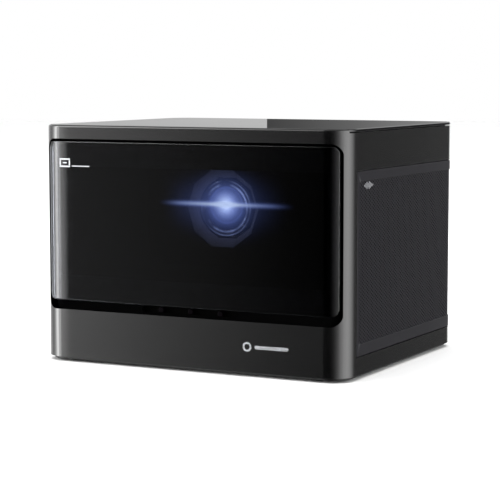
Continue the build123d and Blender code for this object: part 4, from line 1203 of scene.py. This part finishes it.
def screw_tree():
    """Pan-head screws with a cross recess, at the corners of a rectangle, heads up."""
    tree, value, out = geometry_tree("Cover screws", [
        ("Head radius", FLOAT, 2.8 * MM), ("Head height", FLOAT, 1.6 * MM), ("Shank radius", FLOAT, 1.2 * MM),
        ("Shank length", FLOAT, 6.0 * MM), ("Spread X", FLOAT, 100.0 * MM), ("Spread Y", FLOAT, 100.0 * MM),
        ("Finish", MATERIAL, None),
    ])
    head_h, head_r = value["Head height"], value["Head radius"]
    disc = add(tree, "GeometryNodeMeshCylinder", {
        "Vertices": 32, "Side Segments": 3, "Fill Segments": 3, "Radius": head_r, "Depth": head_h})
    parts = parts_of(tree, first(tree, "GeometryNodeInputPosition"))
    share = math_of(tree, "DIVIDE", length_of(tree, vector(tree, parts["X"], parts["Y"])), head_r)
    fall = times(tree, math_of(tree, "POWER", share, 3.0), HEAD_CROWN)
    crown = minus(tree, 1.0, fall)
    top = math_of(tree, "GREATER_THAN", parts["Z"], 0.0)
    lift = vector(tree, z=times(tree, minus(tree, crown, 1.0), times(tree, parts["Z"], top)))
    domed = first(tree, "GeometryNodeSetPosition", {"Geometry": disc.outputs["Mesh"], "Offset": lift})
    head_at = vector(tree, z=times(tree, head_h, -0.5))
    head = first(tree, "GeometryNodeTransform", {"Geometry": domed, "Translation": head_at})
    size = vector(tree, times(tree, head_r, CROSS_LENGTH), times(tree, head_r, CROSS_WIDTH), head_h)
    bar = add(tree, "GeometryNodeMeshCube", {"Size": size}).outputs["Mesh"]
    bars = [first(tree, "GeometryNodeTransform", {"Geometry": bar, "Rotation": (0.0, 0.0, turn)})
            for turn in (0.0, pi / 2)]
    cut = add(tree, "GeometryNodeMeshBoolean", {"Mesh 1": head, "Mesh 2": joined(tree, *bars)},
              operation="DIFFERENCE", solver="EXACT").outputs["Mesh"]
    shank = add(tree, "GeometryNodeMeshCylinder", {
        "Vertices": 20, "Radius": value["Shank radius"], "Depth": value["Shank length"]}).outputs["Mesh"]
    drop = times(tree, plus(tree, value["Shank length"], head_h), -0.5)
    shank_at = vector(tree, z=minus(tree, drop, times(tree, head_h, 0.5)))
    shank = first(tree, "GeometryNodeTransform", {"Geometry": shank, "Translation": shank_at})
    grid = first(tree, "GeometryNodeMeshGrid", {
        "Size X": value["Spread X"], "Size Y": value["Spread Y"], "Vertices X": 2, "Vertices Y": 2})
    spin = vector(tree, z=times(tree, first(tree, "GeometryNodeInputIndex"), SPIN_STEP))
    placed = first(tree, "GeometryNodeInstanceOnPoints", {
        "Points": grid, "Instance": joined(tree, cut, shank), "Rotation": spin})
    real = first(tree, "GeometryNodeRealizeInstances", {"Geometry": placed})
    done = first(tree, "GeometryNodeSetMaterial", {"Geometry": real, "Material": value["Finish"]})
    join(tree, done, out)
    return tree


class BuildScrews(bpy.types.Operator):
    """Rear cover and base screws with cross recesses"""

    bl_idname = "projector.screws"
    bl_label = "Screws"

    def execute(self, context):
        tree = screw_tree()
        head = sizes().screw_head_r
        for node, name in (("rear_screws", "rear_screw_set"), ("base_screws", "base_screw_set")):
            low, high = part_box(node)
            middle = (low + high) / 2
            back = node == "rear_screws"
            tall, span = (high.z - low.z, high.y - low.y) if back else (high.y - low.y, high.z - low.z)
            mesh = from_tree(node, tree, {
                "Head radius": head, "Head height": HEAD_H, "Shank radius": SHANK_R,
                "Shank length": span - HEAD_H, "Spread X": high.x - low.x - 2 * head,
                "Spread Y": tall - 2 * head, "Finish": MATERIALS["screw_steel"],
            })
            for vertex in mesh.vertices:
                x, y, z = vertex.co
                vertex.co = (-x, high.y + z, middle.z + y) if back else (x, middle.y - y, low.z - z)
            smooth(turned_out(mesh), SHEET_ANGLE)
            new_object(name, mesh, "screw_steel", replaced=(node,))
        return {"FINISHED"}


# ---- printed marks ---------------------------------------------------------------------------
PRINT_DEPTHS = (0.02 * MM, -0.04 * MM)
# A small screen outline on the glass, with a bar in it and a line after it.
SCREEN_AT = (-101.5 * MM, 146.5 * MM)
SCREEN_SIZE = (9.0 * MM, 6.4 * MM)
STROKE = 1.1 * MM
SCREEN_BAR = (3.4 * MM, 0.9 * MM)
LINE_AT = (-88.0 * MM, 144.2 * MM)
LINE_SIZE = (15.0 * MM, 0.7 * MM)
# A sound wave on the side grilles: its first stroke's place, and its strokes.
WAVE_Y = -72.0 * MM
WAVE_Z = 134.4 * MM
WAVE_STEP = 2.0 * MM
WAVE_STROKE = 0.9 * MM
WAVE_HEIGHTS = tuple(height * MM for height in (1.6, 3.2, 5.0, 3.6, 5.6, 4.0, 2.4, 1.4))
WAVE_OVER, WAVE_UNDER = 0.2 * MM, 0.05 * MM
# Just under a half circle at a stroke's end, so that its long sides keep a length.
ROUND_END = 0.98


def print_bar(build, place, centre, size, depths=PRINT_DEPTHS):
    """A printed stroke: a thin bar with round ends laid on the face."""
    (u, v), (wide, tall) = centre, size
    radius = min(wide, tall) / 2 * ROUND_END
    middle = [u - wide / 2 + radius, u + wide / 2 - radius]
    thin_solid(build, middle, (v - tall / 2, v + tall / 2), radius, depths, place, steps=4)


class PrintMarks(bpy.types.Operator):
    """Plain generic marks: a screen outline and line on the glass, a sound wave on the side grilles"""

    bl_idname = "projector.marks"
    bl_label = "Printed marks"

    def execute(self, context):
        size = sizes()

        def on_glass(u, v, depth):
            return front_place(u, v, size.glass_inset + depth)

        build = bmesh.new()
        (u, v), (wide, tall) = SCREEN_AT, SCREEN_SIZE
        for side in (-1, 1):
            print_bar(build, on_glass, (u, v + side * (tall - STROKE) / 2), (wide, STROKE))
            print_bar(build, on_glass, (u + side * (wide - STROKE) / 2, v), (STROKE, tall - 2.2 * STROKE))
        print_bar(build, on_glass, SCREEN_AT, SCREEN_BAR)
        print_bar(build, on_glass, LINE_AT, LINE_SIZE)
        new_object("glass_mark", mesh_of(build, "glass_mark"), "print_white")
        depths = (size.sheet_set + WAVE_UNDER, size.sheet_set - WAVE_OVER)
        for side, label in SIDES:
            place, _ = side_place(side)
            wave = bmesh.new()
            for index, tall in enumerate(WAVE_HEIGHTS):
                centre = (WAVE_Y - GRILLE_LOW.y + index * WAVE_STEP, WAVE_Z)
                print_bar(wave, place, centre, (WAVE_STROKE, tall), depths)
            new_object("wave_mark_" + label, mesh_of(wave, "wave_mark_" + label), "print_grey")
        return {"FINISHED"}


# ---- carried-over pieces ---------------------------------------------------------------------
# The front lens and the hood take finishes with painted glow; the sensor board takes black solder mask.
OWN_FINISHES = {"front_lens": "lens_front_glow", "lens_hood": "hood_glow", "sensor_board": "board_black"}


class FinishCadPieces(bpy.types.Operator):
    """Gives every carried-over piece the finish of its slot"""

    bl_idname = "projector.cad_finishes"
    bl_label = "Finishes"

    def execute(self, context):
        for name, node in NODES.items():
            for slot in node.material_slots:
                slot.material = MATERIALS[OWN_FINISHES.get(name, slot.material.name.split(".")[0])]
        return {"FINISHED"}


# ---- stage -----------------------------------------------------------------------------------
CAMERA_AT = (0.6250, -1.2258, 0.2158)
CAMERA_AIM = (-0.00317, 0.0, 0.07765)
CAMERA_LENS = 131.26
SENSOR_W = 36.0
CLIP_START = 0.05
FLOOR_R = 6.0
LAMP_AT = (0.0, 0.0, 2.6)
LAMP_SIZE = 3.0
LAMP_POWER = 85.0

# The studio's brightness all round: (bearing in degrees, level). 0 lies straight in front of the
# projector, and positive bearings turn towards higher X.
LIGHT_BY_BEARING = (
    (-180, 1.5), (-172, 1.2), (-166, 0.6), (-162, 0.38), (-158.5, 0.27), (-156, 0.14), (-153.4, 0.06),
    (-140, 0.4), (-120, 0.9), (-92, 0.7), (-80, 1.3), (-68, 3.6), (-58, 8.5), (-51, 11.0), (-45, 6.5),
    (-39, 1.2), (-35, 0.36), (-32, 0.25), (-28.5, 0.13), (-25.5, 0.03), (-22, 0.0), (8, 0.0),
    (27, 0.15), (40, 0.5), (50, 1.0), (62, 2.1), (80, 3.2), (95, 3.7), (110, 2.8), (124, 1.5),
    (138, 0.45), (150, 0.05), (158, 0.05), (163, 0.14), (168, 0.7), (174, 1.4), (180, 1.5),
)
PEAK = 12.0


def share_of(bearing):
    """A bearing in degrees as a share of the whole turn from -180 to 180."""
    return (bearing + 180) / 360


# A narrow bright panel: its sharp edge, its soft edge and its level.
BOX_NEAR = (share_of(-33.5), share_of(-32.9))
BOX_FAR = (share_of(-43.0), share_of(-38.0))
BOX_LEVEL = 5.2
# A dim low card, brightest at its first bearing, that keeps CARD_FALL of its level past the second.
CARD_REACH = (share_of(-153.4), share_of(-133.2))
CARD_HEIGHTS = (0.02, 0.5)
CARD_FALL = 0.1
CARD_LEVEL = 0.52
# Light from below the horizon is held down, then dimmed; light from overhead is even.
# Each pair holds the sines of the two heights between which the change happens.
CAP_REACH = (-0.27, -0.20)
LOW_CAP = 2.0
UNDER_REACH = (-0.6, -0.32)
UNDER_SHARE = 0.08
TOP_REACH = (0.55, 0.85)
TOP_LEVEL = 0.45


class SetStage(bpy.types.Operator):
    """Pale floor, soft studio light and the camera"""

    bl_idname = "projector.stage"
    bl_label = "Stage"

    def execute(self, context):
        scene = context.scene
        scene.view_settings.view_transform = "Standard"
        scene.view_settings.look = "None"
        self.make_world(scene)
        self.make_floor(scene)
        self.make_light(scene)
        camera = bpy.data.objects.new("camera", bpy.data.cameras.new("camera"))
        scene.collection.objects.link(camera)
        camera.data.lens = CAMERA_LENS
        camera.data.sensor_width = SENSOR_W
        camera.data.clip_start = CLIP_START
        camera.location = CAMERA_AT
        aim = Vector(CAMERA_AIM)
        camera.rotation_euler = (aim - camera.location).to_track_quat("-Z", "Y").to_euler()
        scene.camera = camera
        return {"FINISHED"}

    def level_by_bearing(self, tree, share):
        """The brightness round the horizon; the curve holds square roots, for finer dark steps."""
        curve_node = add(tree, "ShaderNodeFloatCurve", {1: share})
        curve = curve_node.mapping.curves[0]
        while len(curve.points) < len(LIGHT_BY_BEARING):
            curve.points.new(0.5, 0.5)
        for point, (bearing, level) in zip(curve.points, LIGHT_BY_BEARING):
            point.location = (share_of(bearing), (level / PEAK) ** 0.5)
            point.handle_type = "VECTOR"
        curve_node.mapping.update()
        root = curve_node.outputs[0]
        return times(tree, root, root, PEAK)

    def make_world(self, scene):
        world = bpy.data.worlds.new("studio")
        world.use_nodes = True
        scene.world = world
        tree = world.node_tree
        tree.nodes.clear()
        way = parts_of(tree, add(tree, "ShaderNodeTexCoord").outputs["Generated"])
        height = way["Z"]
        bearing = math_of(tree, "ARCTAN2", way["X"], times(tree, way["Y"], -1.0))
        share = plus(tree, math_of(tree, "DIVIDE", bearing, 2 * pi), 0.5)
        box = times(tree, ramp(tree, share, *BOX_NEAR, 1.0, 0.0), ramp(tree, share, *BOX_FAR), BOX_LEVEL)
        level = plus(tree, self.level_by_bearing(tree, share), box)
        held = math_of(tree, "MINIMUM", level, LOW_CAP)
        level = first(tree, "ShaderNodeMix", {0: ramp(tree, height, *CAP_REACH), 2: held, 3: level})
        level = times(tree, level, ramp(tree, height, *UNDER_REACH, UNDER_SHARE, 1.0))
        level = first(tree, "ShaderNodeMix", {0: ramp(tree, height, *TOP_REACH), 2: level, 3: TOP_LEVEL})
        card = times(
            tree, ramp(tree, share, *CARD_REACH, 1.0, CARD_FALL),
            math_of(tree, "GREATER_THAN", share, CARD_REACH[0]),
            math_of(tree, "GREATER_THAN", height, CARD_HEIGHTS[0]),
            math_of(tree, "LESS_THAN", height, CARD_HEIGHTS[1]), CARD_LEVEL,
        )
        level = plus(tree, level, card)
        studio = first(tree, "ShaderNodeBackground", {"Color": vector(tree, level, level, level)})
        white = first(tree, "ShaderNodeBackground", {"Color": (1.0, 1.0, 1.0)})
        seen = add(tree, "ShaderNodeLightPath").outputs["Is Camera Ray"]
        both = first(tree, "ShaderNodeMixShader", {0: seen, 1: studio, 2: white})
        add(tree, "ShaderNodeOutputWorld", {0: both}).is_active_output = True

    def make_floor(self, scene):
        """A pale paper floor that glossy faces look through."""
        material = bpy.data.materials.new("pale_floor")
        material.use_nodes = True
        tree = material.node_tree
        tree.nodes.clear()
        tone = mix_colours(tree, noise_of(tree, object_place(tree), 6.0, 3.0), (0.90,) * 3, (0.93,) * 3)
        paper = first(tree, "ShaderNodeBsdfDiffuse", {"Color": tone})
        gone = first(tree, "ShaderNodeBsdfTransparent")
        glossy = add(tree, "ShaderNodeLightPath").outputs["Is Glossy Ray"]
        both = first(tree, "ShaderNodeMixShader", {0: glossy, 1: paper, 2: gone})
        add(tree, "ShaderNodeOutputMaterial", {0: both})
        build = bmesh.new()
        bmesh.ops.create_circle(build, cap_ends=True, segments=96, radius=FLOOR_R)
        mesh = plain_mesh(build, "floor")
        mesh.materials.append(material)
        floor = bpy.data.objects.new("floor", mesh)
        scene.collection.objects.link(floor)

    def make_light(self, scene):
        """One wide lamp overhead that glossy faces don't mirror."""
        data = bpy.data.lights.new("overhead", "AREA")
        data.shape = "DISK"
        data.size = LAMP_SIZE
        data.energy = LAMP_POWER
        lamp = bpy.data.objects.new("overhead", data)
        lamp.location = LAMP_AT
        lamp.visible_glossy = False
        scene.collection.objects.link(lamp)


class PROJECTOR_PT_panel(bpy.types.Panel):
    """Lists the projector's building steps and their settings"""

    bl_label = "Projector"
    bl_space_type = "VIEW_3D"
    bl_region_type = "UI"
    bl_category = "Projector"

    def draw(self, context):
        for step in STEPS:
            self.layout.operator(step.bl_idname)
        for name in ProjectorSizes.__annotations__:
            self.layout.prop(context.scene.projector_sizes, name)
        for name in ProjectorColours.__annotations__:
            self.layout.prop(context.scene.projector_colours, name)


STEPS = (
    FinishCadPieces, BuildShell, BuildFrontGlass, BuildSideGrilles, BuildRearGrille, BuildScrews,
    PrintMarks, SetStage,
)
CLASSES = (ProjectorSizes, ProjectorColours, *STEPS, PROJECTOR_PT_panel)


def register():
    for kind in CLASSES:
        bpy.utils.register_class(kind)
    bpy.types.Scene.projector_sizes = bpy.props.PointerProperty(type=ProjectorSizes)
    bpy.types.Scene.projector_colours = bpy.props.PointerProperty(type=ProjectorColours)


def unregister():
    del bpy.types.Scene.projector_colours
    del bpy.types.Scene.projector_sizes
    for kind in reversed(CLASSES):
        bpy.utils.unregister_class(kind)


def main():
    register()
    make_materials()
    for step in STEPS:
        group, name = step.bl_idname.split(".")
        getattr(getattr(bpy.ops, group), name)()


if __name__ == "__main__":
    main()
